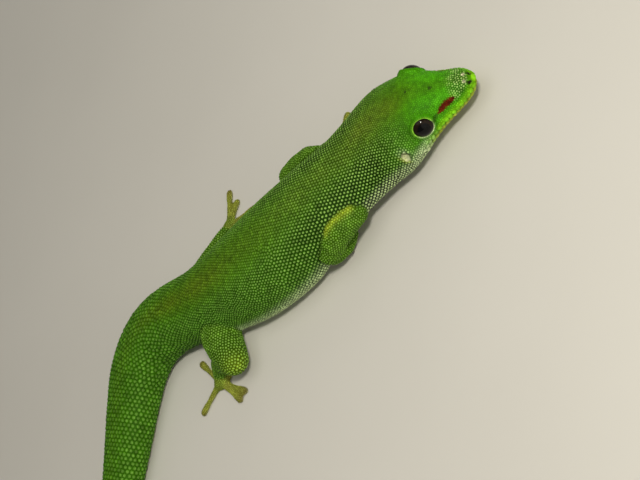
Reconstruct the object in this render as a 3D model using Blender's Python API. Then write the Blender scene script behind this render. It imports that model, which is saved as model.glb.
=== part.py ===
"""Giant day gecko, life size, at rest on the floor in the pose of a climbing animal.

Metres, +Z up. +Y runs along the trunk to the head and +X is the animal's right side.
The origin is on the floor, under the front of the flat of the belly.
Every length below is in millimetres and is turned into metres as the meshes are made.
"""
import math

import bmesh
import bpy
import numpy as np
from mathutils import Vector

MM = 0.001
COLLECTION = "giant_day_gecko"
SIDES = (("right", 1), ("left", -1))

# Gap kept between neighbouring pieces
GAP = 0.3

# Middle line of the body in plan, from the snout to the tip of the tail: x, y
SPINE = (
    (0.7, 74.2), (-1.6, 66.2), (-3.8, 57.8), (-4.9, 49.0), (-4.6, 40.0), (-3.4, 30.0),
    (-1.9, 19.0), (-0.8, 9.0), (-0.2, -2.0), (-0.6, -14.0), (-2.4, -26.0), (-4.6, -37.0),
    (-7.8, -47.0), (-10.0, -56.0), (-9.0, -65.8), (-4.0, -73.8), (3.8, -80.2), (12.8, -86.4),
    (22.2, -93.0), (35.5, -103.5), (48.5, -116.5), (58.5, -131.5), (63.5, -147.0), (64.0, -160.0),
)
SPINE_REACH = 1.5

# Body sections: distance from the snout, half width, height of the back,
# height of the widest line, height of the under side
SECTIONS = (
    (0.0, 3.6, 9.5, 6.9, 4.8),
    (3.0, 4.6, 10.7, 6.9, 4.4),
    (8.0, 6.6, 12.3, 6.9, 4.0),
    (13.0, 8.5, 14.2, 7.0, 3.2),
    (18.0, 10.6, 15.8, 7.0, 2.7),
    (24.0, 13.05, 16.6, 6.9, 2.2),
    (30.0, 14.2, 16.8, 6.9, 1.9),
    (36.0, 14.0, 16.6, 7.1, 2.0),
    (43.0, 13.5, 16.5, 7.5, 2.6),
    (50.0, 13.7, 17.1, 8.2, 3.3),
    (58.0, 14.7, 18.3, 8.4, 3.2),
    (66.0, 15.6, 19.2, 8.2, 1.2),
    (74.0, 16.3, 19.6, 8.0, -0.8),
    (84.0, 16.4, 19.6, 7.8, -0.9),
    (94.0, 15.5, 19.0, 7.6, -0.9),
    (104.0, 13.7, 17.9, 7.4, -0.8),
    (112.0, 12.8, 16.8, 7.4, -0.5),
    (120.0, 11.6, 15.8, 7.2, 0.0),
    (128.0, 11.5, 15.3, 7.0, -0.3),
    (138.0, 11.5, 15.1, 7.0, -0.5),
    (150.0, 10.8, 14.3, 6.8, -0.5),
    (170.0, 8.9, 12.4, 6.0, -0.5),
    (190.0, 7.1, 10.1, 4.9, -0.4),
    (215.0, 4.9, 7.2, 3.5, -0.3),
    (240.0, 2.8, 4.4, 2.1, -0.2),
    (270.0, 0.9, 1.8, 0.8, -0.1),
)
UPPER_SQUARENESS = 2.25
LOWER_SQUARENESS = 2.6

# Round ends: how far each reaches along the body, and the shares of it that have a ring
SNOUT_ROUNDING = 5.0
SNOUT_SHARES = (0.03, 0.11, 0.25, 0.45, 0.7)
TAIL_ROUNDING = 1.2
TAIL_SHARES = (0.6, 0.25)

# Where the body is parted, as distances from the snout, and the rings between
HEAD_END = 37.0
NECK_END = 47.5
CHEST_END = 69.0
BELLY_END = 108.0
PELVIS_END = 130.0
TAIL_BASE_END = 163.0
TAIL_MIDDLE_END = 205.0
BODY_RING_SIDES = 30
BODY_STEP = 3.4
HEAD_STEP = 1.2

# Angles of a head ring's right half, crown to throat, close together at the mouth
HEAD_ANGLES = (90, 77, 64, 52, 41, 31, 22, 13, 5, -1, -6, -11, -20, -33, -49, -68, -90)
MOUTH_ANGLE = -6
LIP_ANGLES = (-1, -11)
MOUTH_DEPTH = 0.55
LIP_SWELL = 0.18
MOUTH_END = 25.0
MOUTH_FADE = 4.0

# Swellings and hollows of the head: distance from the snout, height, reach along,
# reach up, and how far the surface stands out
HEAD_RELIEF = (
    (17.0, 12.0, 3.8, 2.8, 0.6),
    (17.5, 15.0, 4.4, 1.6, 0.8),
    (9.5, 9.6, 3.4, 1.8, -0.7),
    (24.0, 13.4, 3.0, 2.2, -0.4),
    (27.0, 8.0, 5.0, 3.0, 0.5),
)

# Eyes: distance from the snout, height, ball, and the way each looks
EYE_ALONG = 16.2
EYE_HEIGHT = 12.0
EYE_RADIUS = 3.6
EYE_OUTER = 10.8
EYE_FORWARD = 22.0
EYE_UPWARD = 16.0

# The swelling of skin round an eye, up to its rim: distance from the eye's axis,
# and how far out from the middle of the ball
EYE_LID = ((3.9, -1.0), (4.5, 0.0), (4.3, 1.1), (3.9, 1.85), (3.55, 2.3), (3.15, 2.4), (2.6, 2.2))
EYE_LID_SIDES = 26

# Nostrils and ears: distance from the snout, place across and up, size and slant
NOSTRIL_ALONG = 1.3
NOSTRIL_SIDE = 1.75
NOSTRIL_HEIGHT = 8.9
NOSTRIL_RADIUS = 0.5
EAR_ALONG = 27.8
EAR_SIDE = 13.35
EAR_HEIGHT = 10.6
EAR_SIZE = (1.3, 1.0, 1.7)
EAR_SLANT = 25.0

# Segments and rings of the balls that these are made with
EYE_MESH = (18, 12)
SOCKET_MESH = (20, 12)
NOSTRIL_MESH = (10, 6)
EAR_MESH = (12, 8)

# Limb segments: points of the middle line and the radius at each
RIGHT_UPPER_ARM = ((8.2, 24.4, 9.2, 5.0), (11.4, 17.0, 10.4, 4.8), (12.9, 10.9, 8.4, 4.2))
RIGHT_FOREARM = ((13.2, 10.4, 6.0, 3.2), (12.4, 13.6, 4.1, 2.8), (9.0, 16.6, 2.2, 1.9))
LEFT_UPPER_ARM = ((-9.5, 24.5, 10.0, 4.6), (-16.0, 16.6, 9.6, 4.8), (-18.5, 7.4, 7.8, 4.0))
LEFT_FOREARM = ((-18.7, 7.9, 6.4, 3.3), (-20.8, 14.4, 4.1, 2.8), (-22.2, 20.6, 2.3, 1.9))
RIGHT_THIGH = ((3.0, -36.5, 7.2, 6.4), (12.0, -36.4, 7.6, 6.3), (18.4, -35.4, 7.2, 5.2))
RIGHT_SHANK = ((18.0, -37.0, 6.2, 4.3), (14.7, -41.6, 4.6, 3.9), (15.3, -45.8, 2.6, 2.2))
LEFT_THIGH = ((-9.0, -38.0, 8.6, 5.6), (-13.2, -38.8, 8.0, 4.6), (-15.8, -39.8, 6.4, 3.8))
LEFT_SHANK = ((-16.6, -39.6, 6.0, 3.5), (-20.6, -33.9, 4.4, 3.0), (-25.6, -27.8, 2.4, 2.2))
LIMB_SIDES = 12
LIMB_RINGS = 5
LIMB_REACH = 0.5
CAP_TURNS = (30.0, 60.0)

# Hands and feet: middle of the palm, then the heading in degrees and the length of each toe
RIGHT_HAND = ((2.8, 17.6), ((205, 5.0), (172, 7.5), (142, 8.5), (115, 8.5), (89, 7.5)))
LEFT_HAND = ((-22.6, 23.8), ((5, 4.5), (40, 7.5), (74, 9.0), (108, 9.0), (137, 8.8)))
RIGHT_FOOT = ((17.0, -47.7), ((88, 5.0), (43, 12.7), (28, 12.2), (-66, 12.4), (-152, 13.0)))
LEFT_FOOT = ((-27.8, -25.9), ((5, 5.0), (42, 10.0), (84, 12.0), (138, 9.2), (162, 13.0)))

# Palm: radius, rings as height and share of the radius, and the top of its dome
PALM_RADIUS = 2.7
PALM_RINGS = ((0.0, 0.9), (0.7, 1.0), (1.5, 0.9), (2.5, 0.5))
PALM_TOP = 2.9
WRIST_START = (1.5, 1.5)
WRIST_SHARE = 0.95

# Shape of a toe: share of its length, half width, height of its top
TOE_SHAPE = (
    (0.0, 1.15, 1.9), (0.35, 0.9, 1.6), (0.6, 0.85, 1.4), (0.78, 1.25, 1.3),
    (0.9, 1.35, 1.15), (1.0, 1.1, 0.95),
)
TOE_SOLE_DEPTH = 0.6
TOE_START = 0.1
TOE_FIRST_RING = 0.4
TOE_TIP_ROUNDING = 1.1
TOE_TIP_RING = (0.35, 0.76)
TOE_SIDES = 8
TOE_RINGS = 7

# Finish of each kind of piece: colour, roughness
SKIN_GREEN = ((0.10, 0.33, 0.02, 1.0), 0.5)
HEAD_GREEN = ((0.13, 0.42, 0.02, 1.0), 0.45)
TAIL_GREEN = ((0.07, 0.36, 0.02, 1.0), 0.5)
TOE_OLIVE = ((0.30, 0.34, 0.10, 1.0), 0.6)
EYE_BLACK = ((0.012, 0.009, 0.007, 1.0), 0.08)


def clear_scene():
    for item in list(bpy.data.objects):
        bpy.data.objects.remove(item)


def new_collection(name):
    collection = bpy.data.collections.new(name)
    bpy.context.scene.collection.children.link(collection)
    return collection


def smooth_between(knots, values, at):
    """Values between the knots, on a curve whose slope at a knot follows its neighbours."""
    knots = np.asarray(knots, float)
    values = np.asarray(values, float)
    slopes = np.gradient(values, knots, axis=0)
    at = np.clip(np.atleast_1d(np.asarray(at, float)), knots[0], knots[-1])
    low = np.clip(np.searchsorted(knots, at, side="right") - 1, 0, len(knots) - 2)
    span = knots[low + 1] - knots[low]
    t = (at - knots[low]) / span
    if values.ndim > 1:
        t = t[:, None]
        span = span[:, None]
    start_share = 2 * t ** 3 - 3 * t ** 2 + 1
    end_share = 3 * t ** 2 - 2 * t ** 3
    start_slope = (t ** 3 - 2 * t ** 2 + t) * span
    end_slope = (t ** 3 - t ** 2) * span
    return (start_share * values[low] + end_share * values[low + 1]
            + start_slope * slopes[low] + end_slope * slopes[low + 1])


def chord_lengths(points):
    steps = np.linalg.norm(np.diff(points, axis=0), axis=1)
    return np.concatenate(([0.0], np.cumsum(steps)))


def dense_route(points, count=400):
    """A smooth route through the points, and the distance along it at each of its points."""
    points = np.asarray(points, float)
    knots = chord_lengths(points)
    route = smooth_between(knots, points, np.linspace(0.0, knots[-1], count))
    return chord_lengths(route), route


SPINE_DISTANCE, SPINE_ROUTE = dense_route(SPINE)
BODY_LENGTH = SPINE_DISTANCE[-1]


def on_spine(along):
    return np.array([np.interp(along, SPINE_DISTANCE, SPINE_ROUTE[:, i]) for i in (0, 1)])


def spine_at(along):
    """Place on the middle line in plan, and the directions ahead and to the right there."""
    before = on_spine(max(along - SPINE_REACH, 0.0))
    after = on_spine(min(along + SPINE_REACH, BODY_LENGTH))
    ahead = (before - after) / np.linalg.norm(before - after)
    right = np.array([ahead[1], -ahead[0]])
    return on_spine(along), ahead, right


def section_at(along):
    """Half width, height of the back, height of the widest line and height of the under side."""
    return smooth_between([row[0] for row in SECTIONS], [row[1:] for row in SECTIONS], along)[0]


def end_rounding(along):
    """Share of the full section near the two ends, which close in a quarter of a circle."""
    left = BODY_LENGTH - along
    if along < SNOUT_ROUNDING:
        return math.sqrt(1.0 - (1.0 - along / SNOUT_ROUNDING) ** 2)
    if left < TAIL_ROUNDING:
        return math.sqrt(1.0 - (1.0 - left / TAIL_ROUNDING) ** 2)
    return 1.0


def head_relief(along, height):
    stand_out = 0.0
    for centre, level, reach_along, reach_up, amount in HEAD_RELIEF:
        far = ((along - centre) / reach_along) ** 2 + ((height - level) / reach_up) ** 2
        stand_out += amount * math.exp(-far)
    return stand_out


def mouth_relief(along, degrees):
    """The sunk line of the mouth and the lips beside it, from the snout to the angle of the jaw."""
    right_half = degrees if abs(degrees) <= 90 else math.copysign(180, degrees) - degrees
    share = min(1.0, max(0.0, (MOUTH_END - along) / MOUTH_FADE))
    if right_half == MOUTH_ANGLE:
        return -MOUTH_DEPTH * share
    if right_half in LIP_ANGLES:
        return LIP_SWELL * share
    return 0.0


def body_ring(along, angles, grow=0.0):
    """One section of the body as points, the right side first. Ungrown, it stays on the floor."""
    half, top, wide, under = section_at(along)
    share = end_rounding(along)
    place, _, right = spine_at(along)
    lowest = -grow
    points = []
    for degrees in angles:
        side = math.cos(math.radians(degrees))
        rise = math.sin(math.radians(degrees))
        square = UPPER_SQUARENESS if rise >= 0 else LOWER_SQUARENESS
        across = half * share * math.copysign(abs(side) ** (2 / square), side)
        reach = (top - wide) if rise >= 0 else (wide - under)
        up = reach * share * math.copysign(abs(rise) ** (2 / square), rise)
        stand_out = grow
        if along < HEAD_END:
            stand_out += (head_relief(along, wide + up) + mouth_relief(along, degrees)) * share
        stretch = 1 + stand_out / math.hypot(across, up)
        spot = place + right * across * stretch
        points.append((spot[0], spot[1], max(wide + up * stretch, lowest)))
    return points


def head_angles():
    left_half = [180 - a if a >= 0 else -180 - a for a in HEAD_ANGLES[1:-1]]
    return list(HEAD_ANGLES) + left_half[::-1]


def even_angles(count):
    """Angles round a ring, from the back down the right side, between -180 and 180."""
    return [(90 - 360 * i / count + 180) % 360 - 180 for i in range(count)]


def loft(name, rings, start_point=None, end_point=None):
    """A closed mesh through rings of equal count, with flat or pointed ends."""
    bm = bmesh.new()
    rows = [[bm.verts.new([c * MM for c in point]) for point in ring] for ring in rings]
    count = len(rows[0])
    for low, high in zip(rows, rows[1:]):
        for i in range(count):
            j = (i + 1) % count
            bm.faces.new((low[i], low[j], high[j], high[i]))
    for row, tip in ((rows[0], start_point), (rows[-1], end_point)):
        if tip is None:
            bm.faces.new(row)
            continue
        tip_vertex = bm.verts.new([c * MM for c in tip])
        for i in range(count):
            bm.faces.new((row[i], row[(i + 1) % count], tip_vertex))
    bmesh.ops.recalc_face_normals(bm, faces=bm.faces)
    return object_from(name, bm)


def object_from(name, bm):
    mesh = bpy.data.meshes.new(name)
    bm.to_mesh(mesh)
    bm.free()
    return bpy.data.objects.new(name, mesh)


def spaced(start, end, step):
    return np.linspace(start, end, int(round((end - start) / step)) + 1)


def body_length(name, start, end, grow=0.0):
    """The stretch of body between two distances, with the gap to its neighbours left free."""
    distances = spaced(start + GAP / 2, end - GAP / 2, BODY_STEP)
    return loft(name, [body_ring(d, even_angles(BODY_RING_SIDES), grow) for d in distances])


def tail_tip_length(name):
    distances = list(spaced(TAIL_MIDDLE_END + GAP / 2, BODY_LENGTH - TAIL_ROUNDING, BODY_STEP))
    distances += [BODY_LENGTH - TAIL_ROUNDING * share for share in TAIL_SHARES]
    rings = [body_ring(d, even_angles(BODY_RING_SIDES // 2)) for d in distances]
    _, _, wide, _ = section_at(BODY_LENGTH)
    return loft(name, rings, end_point=(*on_spine(BODY_LENGTH), wide))


def head_length(name):
    distances = [SNOUT_ROUNDING * share for share in SNOUT_SHARES]
    distances += list(spaced(SNOUT_ROUNDING, HEAD_END - GAP / 2, HEAD_STEP))
    rings = [body_ring(d, head_angles()) for d in distances]
    _, _, wide, _ = section_at(0.0)
    return loft(name, rings, start_point=(*on_spine(0.0), wide))


def in_head(along, aside, height):
    """A place beside the head's middle line, in metres: aside is to the right."""
    place, _, right = spine_at(along)
    spot = place + right * aside
    return Vector((spot[0] * MM, spot[1] * MM, height * MM))


def eye_axis(side):
    """The way an eye looks: to its side, a little ahead and a little up."""
    _, ahead, right = spine_at(EYE_ALONG)
    level = math.cos(math.radians(EYE_UPWARD))
    forward = math.radians(EYE_FORWARD)
    plan = (right * side * math.cos(forward) + ahead * math.sin(forward)) * level
    return Vector((plan[0], plan[1], math.sin(math.radians(EYE_UPWARD))))


def eye_centre(side):
    return in_head(EYE_ALONG, side * EYE_OUTER, EYE_HEIGHT) - eye_axis(side) * EYE_RADIUS * MM


def ball(name, place, radii, divisions, turn=(0.0, 0.0, 0.0)):
    """A closed ellipsoid at a place, turned about its middle."""
    bm = bmesh.new()
    bmesh.ops.create_uvsphere(bm, u_segments=divisions[0], v_segments=divisions[1], radius=1.0)
    bmesh.ops.scale(bm, vec=[r * MM for r in radii], verts=bm.verts)
    made = object_from(name, bm)
    made.rotation_euler = turn
    made.location = place
    return made


def eye_lid(name, side):
    """The skin that an eye sits in, turned about the way the eye looks, with a raised rim."""
    middle = eye_centre(side) / MM
    axis = eye_axis(side)
    level = axis.cross(Vector((0.0, 0.0, 1.0))).normalized()
    rise = level.cross(axis)
    turns = [2 * math.pi * i / EYE_LID_SIDES for i in range(EYE_LID_SIDES)]
    rings = []
    for radius, out in EYE_LID:
        rings.append([middle + axis * out + (level * math.cos(t) + rise * math.sin(t)) * radius
                      for t in turns])
    return loft(name, rings)


def ear_cup(name, side):
    """The hollow of an ear, which slants forward as it goes down."""
    _, ahead, _ = spine_at(EAR_ALONG)
    turn = (math.radians(EAR_SLANT), 0.0, math.atan2(-ahead[0], ahead[1]))
    return ball(name, in_head(EAR_ALONG, side * EAR_SIDE, EAR_HEIGHT), EAR_SIZE, EAR_MESH, turn)


def link(item, collection):
    collection.objects.link(item)
    return item


def bake(item):
    """Replace the object's mesh by its evaluated one and drop its modifiers."""
    bpy.context.view_layer.update()
    depsgraph = bpy.context.evaluated_depsgraph_get()
    mesh = bpy.data.meshes.new_from_object(item.evaluated_get(depsgraph))
    item.modifiers.clear()
    item.data = mesh


def joined_faces(start, unseen):
    """The faces that join on to the first one, which leave the unseen ones."""
    found = [start]
    for face in found:
        for edge in face.edges:
            fresh = [other for other in edge.link_faces if other in unseen]
            unseen.difference_update(fresh)
            found.extend(fresh)
    return found


def keep_largest(item):
    """Leave only the largest closed surface of the object's mesh."""
    bm = bmesh.new()
    bm.from_mesh(item.data)
    surfaces = []
    unseen = set(bm.faces)
    while unseen:
        surfaces.append(joined_faces(unseen.pop(), unseen))
    surfaces.sort(key=lambda faces: sum(face.calc_area() for face in faces))
    for faces in surfaces[:-1]:
        bmesh.ops.delete(bm, geom=faces, context="FACES")
    loose = [v for v in bm.verts if not v.link_faces]
    bmesh.ops.delete(bm, geom=loose, context="VERTS")
    bm.to_mesh(item.data)
    bm.free()


def combine(item, others, operation):
    """Join the other closed meshes to the object, or cut them from it, in one Boolean."""
    cutters = new_collection("cutters")
    for other in others:
        link(other, cutters)
        other.hide_render = True
        other.display_type = "WIRE"
    modifier = item.modifiers.new(operation.lower(), "BOOLEAN")
    modifier.operation = operation
    modifier.operand_type = "COLLECTION"
    modifier.collection = cutters
    modifier.solver = "EXACT"
    bake(item)
    keep_largest(item)
    for other in others:
        bpy.data.objects.remove(other)
    bpy.data.collections.remove(cutters)


def limb_frame(points, knots, distance):
    """The row of the middle line at a distance, and the directions ahead, level and up there."""
    row = smooth_between(knots, points, distance)[0]
    near = smooth_between(knots, points, [distance - LIMB_REACH, distance + LIMB_REACH])
    ahead = near[1, :3] - near[0, :3]
    ahead /= np.linalg.norm(ahead)
    level = np.cross(ahead, (0.0, 0.0, 1.0))
    level /= np.linalg.norm(level)
    return row, ahead, level, np.cross(level, ahead)


def limb_form(name, points, grow=0.0):
    """A limb segment: a tube through the points with round ends."""
    points = np.asarray(points, float)
    knots = chord_lengths(points[:, :3])
    length = knots[-1]
    start_radius = points[0, 3] + grow
    end_radius = points[-1, 3] + grow
    cap = [(math.sin(math.radians(turn)), math.cos(math.radians(turn))) for turn in CAP_TURNS]
    stations = [(0.0, -start_radius * reach, share) for reach, share in cap[::-1]]
    stations += [(distance, 0.0, 1.0) for distance in np.linspace(0.0, length, LIMB_RINGS)]
    stations += [(length, end_radius * reach, share) for reach, share in cap]
    rings = []
    for distance, beyond, share in stations:
        row, ahead, level, rise = limb_frame(points, knots, distance)
        centre = row[:3] + ahead * beyond
        radius = (row[3] + grow) * share
        turns = [2 * math.pi * i / LIMB_SIDES for i in range(LIMB_SIDES)]
        rings.append([centre + radius * (level * math.cos(t) + rise * math.sin(t)) for t in turns])
    start, start_ahead, _, _ = limb_frame(points, knots, 0.0)
    end, end_ahead, _, _ = limb_frame(points, knots, length)
    return loft(name, rings, start[:3] - start_ahead * start_radius, end[:3] + end_ahead * end_radius)


def toe_ring(middle, aside, half, top, share):
    """A flat-soled section of a toe."""
    ring = []
    for i in range(TOE_SIDES):
        turn = 2 * math.pi * (i + 0.5) / TOE_SIDES
        spot = middle + aside * half * share * math.cos(turn)
        height = top / 2 + (top + TOE_SOLE_DEPTH) / 2 * share * math.sin(turn)
        ring.append((spot[0], spot[1], max(height, 0.0)))
    return ring


def toe_form(name, centre, heading, length):
    """A toe on the floor: a slim shaft from inside the palm, then a broad flat pad."""
    ahead = np.array([math.cos(math.radians(heading)), math.sin(math.radians(heading))])
    aside = np.array([ahead[1], -ahead[0]])
    root = np.array(centre, float)
    tip_back, tip_share = TOE_TIP_RING
    stations = [(d, 1.0) for d in np.linspace(TOE_FIRST_RING, length - TOE_TIP_ROUNDING, TOE_RINGS)]
    stations.append((length - tip_back * TOE_TIP_ROUNDING, tip_share))
    shares = [row[0] for row in TOE_SHAPE]
    rings = []
    for distance, share in stations:
        half, top = smooth_between(shares, [row[1:] for row in TOE_SHAPE], distance / length)[0]
        rings.append(toe_ring(root + ahead * distance, aside, half, top, share))
    start = (*(root + ahead * TOE_START), TOE_SHAPE[0][2] / 2)
    end = (*(root + ahead * length), TOE_SHAPE[-1][2] / 2)
    return loft(name, rings, start, end)


def palm_form(name, centre):
    """The palm or sole, a low dome on the floor."""
    rings = []
    for height, share in PALM_RINGS:
        ring = []
        for i in range(LIMB_SIDES):
            turn = 2 * math.pi * (i + 0.5) / LIMB_SIDES
            ring.append((centre[0] + PALM_RADIUS * share * math.cos(turn),
                         centre[1] + PALM_RADIUS * share * math.sin(turn), height))
        rings.append(ring)
    return loft(name, rings, None, (*centre, PALM_TOP))


def wrist_form(name, centre, leg_end):
    """The bridge from the middle of the palm up to the end of the leg, no lower than the floor."""
    points = ((*centre, *WRIST_START), (*leg_end[:3], leg_end[3] * WRIST_SHARE))
    bridge = limb_form(name, points)
    for vertex in bridge.data.vertices:
        vertex.co.z = max(vertex.co.z, 0.0)
    return bridge


def skin_material(name, finish):
    colour, roughness = finish
    material = bpy.data.materials.new(name)
    material.use_nodes = True
    shader = material.node_tree.nodes["Principled BSDF"]
    shader.inputs["Base Color"].default_value = colour
    shader.inputs["Roughness"].default_value = roughness
    shader.inputs["Metallic"].default_value = 0.0
    return material


def dress(item, finish):
    item.data.materials.clear()
    item.data.materials.append(skin_material(item.name + "_finish", finish))
    item.data.shade_smooth()


def build_head(parts):
    head = link(head_length("head"), parts)
    lids = [eye_lid("lid_" + word, side) for word, side in SIDES]
    cuts = []
    for word, side in SIDES:
        cuts.append(ball("socket_" + word, eye_centre(side), [EYE_RADIUS + GAP] * 3, SOCKET_MESH))
        nostril_place = in_head(NOSTRIL_ALONG, side * NOSTRIL_SIDE, NOSTRIL_HEIGHT)
        cuts.append(ball("nostril_" + word, nostril_place, [NOSTRIL_RADIUS] * 3, NOSTRIL_MESH))
        cuts.append(ear_cup("ear_" + word, side))
    combine(head, lids, "UNION")
    combine(head, cuts, "DIFFERENCE")
    dress(head, HEAD_GREEN)


def build_eyes(parts):
    for word, side in SIDES:
        eye = ball("eye_" + word, eye_centre(side), [EYE_RADIUS] * 3, EYE_MESH)
        link(eye, parts)
        dress(eye, EYE_BLACK)


def build_body(parts):
    lengths = (
        ("neck", HEAD_END, NECK_END, HEAD_GREEN),
        ("chest", NECK_END, CHEST_END, SKIN_GREEN),
        ("belly", CHEST_END, BELLY_END, SKIN_GREEN),
        ("pelvis", BELLY_END, PELVIS_END, SKIN_GREEN),
        ("tail_base", PELVIS_END, TAIL_BASE_END, TAIL_GREEN),
        ("tail_middle", TAIL_BASE_END, TAIL_MIDDLE_END, TAIL_GREEN),
    )
    for name, start, end, finish in lengths:
        dress(link(body_length(name, start, end), parts), finish)
    dress(link(tail_tip_length("tail_tip"), parts), TAIL_GREEN)


def clearance(*segments):
    """What a piece of a limb is cut clear of: the trunk and other segments, grown by the gap."""
    trunk = body_length("trunk_clearance", HEAD_END, TAIL_BASE_END, grow=GAP)
    return [trunk] + [limb_form("limb_clearance", segment, GAP) for segment in segments]


def build_limb(parts, names, upper, lower, plan):
    """One leg in three pieces, each cut to fit face to face with what it grows from."""
    upper_name, lower_name, foot_name = names
    centre, toes = plan
    first = link(limb_form(upper_name, upper), parts)
    combine(first, clearance(), "DIFFERENCE")
    second = link(limb_form(lower_name, lower), parts)
    combine(second, clearance(upper), "DIFFERENCE")
    foot = link(palm_form(foot_name, centre), parts)
    grown_on = [toe_form(foot_name + "_toe", centre, heading, length) for heading, length in toes]
    grown_on.append(wrist_form(foot_name + "_wrist", centre, lower[-1]))
    combine(foot, grown_on, "UNION")
    combine(foot, clearance(upper, lower), "DIFFERENCE")
    dress(first, SKIN_GREEN)
    dress(second, SKIN_GREEN)
    dress(foot, TOE_OLIVE)


def build_limbs(parts):
    limbs = (
        (("upper_arm_right", "forearm_right", "hand_right"),
         RIGHT_UPPER_ARM, RIGHT_FOREARM, RIGHT_HAND),
        (("upper_arm_left", "forearm_left", "hand_left"),
         LEFT_UPPER_ARM, LEFT_FOREARM, LEFT_HAND),
        (("thigh_right", "shank_right", "foot_right"), RIGHT_THIGH, RIGHT_SHANK, RIGHT_FOOT),
        (("thigh_left", "shank_left", "foot_left"), LEFT_THIGH, LEFT_SHANK, LEFT_FOOT),
    )
    for names, upper, lower, plan in limbs:
        build_limb(parts, names, upper, lower, plan)


def main():
    clear_scene()
    parts = new_collection(COLLECTION)
    build_head(parts)
    build_eyes(parts)
    build_body(parts)
    build_limbs(parts)


main()
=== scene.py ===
"""Looks of the giant day gecko: one skin with its scales, the eyes, the floor, light and camera.

The frame is in metres. Shapes here are worked out in millimetres and turned into metres last.
"""
import math

import bmesh
import bpy
import numpy as np
from mathutils import Matrix, Vector
from mathutils.bvhtree import BVHTree
from mathutils.kdtree import KDTree

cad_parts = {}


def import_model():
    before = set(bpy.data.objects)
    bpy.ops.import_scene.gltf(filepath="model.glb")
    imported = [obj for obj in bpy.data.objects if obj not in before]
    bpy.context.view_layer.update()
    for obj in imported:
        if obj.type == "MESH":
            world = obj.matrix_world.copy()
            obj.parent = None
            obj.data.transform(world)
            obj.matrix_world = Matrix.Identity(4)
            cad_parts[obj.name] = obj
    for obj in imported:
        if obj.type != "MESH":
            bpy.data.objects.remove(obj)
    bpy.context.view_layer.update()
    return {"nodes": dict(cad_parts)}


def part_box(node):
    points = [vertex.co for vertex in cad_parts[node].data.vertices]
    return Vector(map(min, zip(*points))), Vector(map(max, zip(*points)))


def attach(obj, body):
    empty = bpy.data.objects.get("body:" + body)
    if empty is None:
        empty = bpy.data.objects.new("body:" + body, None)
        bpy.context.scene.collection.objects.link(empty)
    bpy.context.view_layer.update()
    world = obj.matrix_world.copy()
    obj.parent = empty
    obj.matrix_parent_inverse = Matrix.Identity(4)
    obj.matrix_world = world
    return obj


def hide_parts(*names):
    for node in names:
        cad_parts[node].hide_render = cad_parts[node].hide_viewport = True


MM = 0.001
BODY = "root"
SIDES = (("right", 1), ("left", -1))
UPWARD = np.array([0.0, 0.0, 1.0])
SEED = 7

# A distance beyond any that counts, the least gap and length, the softness of a reading from a
# face's corners, and how many points are worked on at a time
FAR = 99.0
LEAST_GAP = 1e-6
TINIEST = 1e-12
READ_GAP = 1e-3
CHUNK = 20000

# Middle line of the body in plan, from the snout to the tip of the tail: x, y
SPINE = (
    (0.7, 74.2), (-1.6, 66.2), (-3.8, 57.8), (-4.9, 49.0), (-4.6, 40.0), (-3.4, 30.0),
    (-1.9, 19.0), (-0.8, 9.0), (-0.2, -2.0), (-0.6, -14.0), (-2.4, -26.0), (-4.6, -37.0),
    (-7.8, -47.0), (-10.0, -56.0), (-9.0, -65.8), (-4.0, -73.8), (3.8, -80.2), (12.8, -86.4),
    (22.2, -93.0), (35.5, -103.5), (48.5, -116.5), (58.5, -131.5), (63.5, -147.0), (64.0, -160.0),
)
ROUTE_POINTS = 400

# Height of the body's axis, about which turns are measured: distance from the snout, height
AXIS_HEIGHT = (
    (0, 6.9), (12, 7.6), (30, 8.6), (58, 9.6), (84, 9.2), (128, 7.5), (170, 6.0), (215, 3.5),
    (267, 0.8),
)

# Trunk nodes, and the limbs: nodes, then points of the middle line down to the wrist or ankle
TRUNK_NODES = ("head", "neck", "chest", "belly", "pelvis", "tail_base", "tail_middle", "tail_tip")
EYE_NODES = ("eye_right", "eye_left")
LIMBS = (
    (("upper_arm_right", "forearm_right"), "hand_right",
     ((8.2, 24.4, 9.2), (11.4, 17, 10.4), (13, 10.6, 7.4), (12.4, 13.6, 4.1), (9, 16.6, 2.2))),
    (("upper_arm_left", "forearm_left"), "hand_left",
     ((-9.5, 24.5, 10), (-16, 16.6, 9.6), (-18.6, 7.6, 7.2), (-20.8, 14.4, 4.1), (-22.2, 20.6, 2.3))),
    (("thigh_right", "shank_right"), "foot_right",
     ((3, -36.5, 7.2), (12, -36.4, 7.6), (18.4, -36, 6.8), (14.7, -41.6, 4.6), (15.3, -45.8, 2.6))),
    (("thigh_left", "shank_left"), "foot_left",
     ((-9, -38, 8.6), (-13.2, -38.8, 8), (-16.2, -39.7, 6.2), (-20.6, -33.9, 4.4),
      (-25.6, -27.8, 2.4))),
)
PALMS = ((2.8, 17.6), (-22.6, 23.8), (17.0, -47.7), (-27.8, -25.9))
FIRST_LEG = 2
LIMB_BLEND = 1.2

# Skin: cell of the remesh, how far the solids are grown to close their gaps, and its smoothing
VOXEL = 0.48
GROW = 0.3
MERGE = 1e-6
BODY_PASSES = 18
HEAD_PASSES = 7
FINISH_PASSES = 2
SMOOTH_OUT = 0.5
SMOOTH_BACK = -0.53

# Where the less smoothed head ends, where its finer faces end, and the room looked at round a foot
HEAD_END = 34.0
DETAIL_END = 33.0
FOOT_MARGIN = 1.0

# Sunk line where a limb leaves the trunk: its depth, its reach, and the painted shade in it
CREASE_DEPTH = 0.4
CREASE_HALF = 0.3
CREASE_SHADE = 0.4

# Depth of the coat over the skin on the body, head and toes, and where it deepens behind the head
BODY_COAT = 0.3
HEAD_COAT = 0.14
TOE_COAT = 0.1
LIMB_COAT_SHARE = 0.7
COAT_BAND = (24.0, 48.0)

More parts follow.
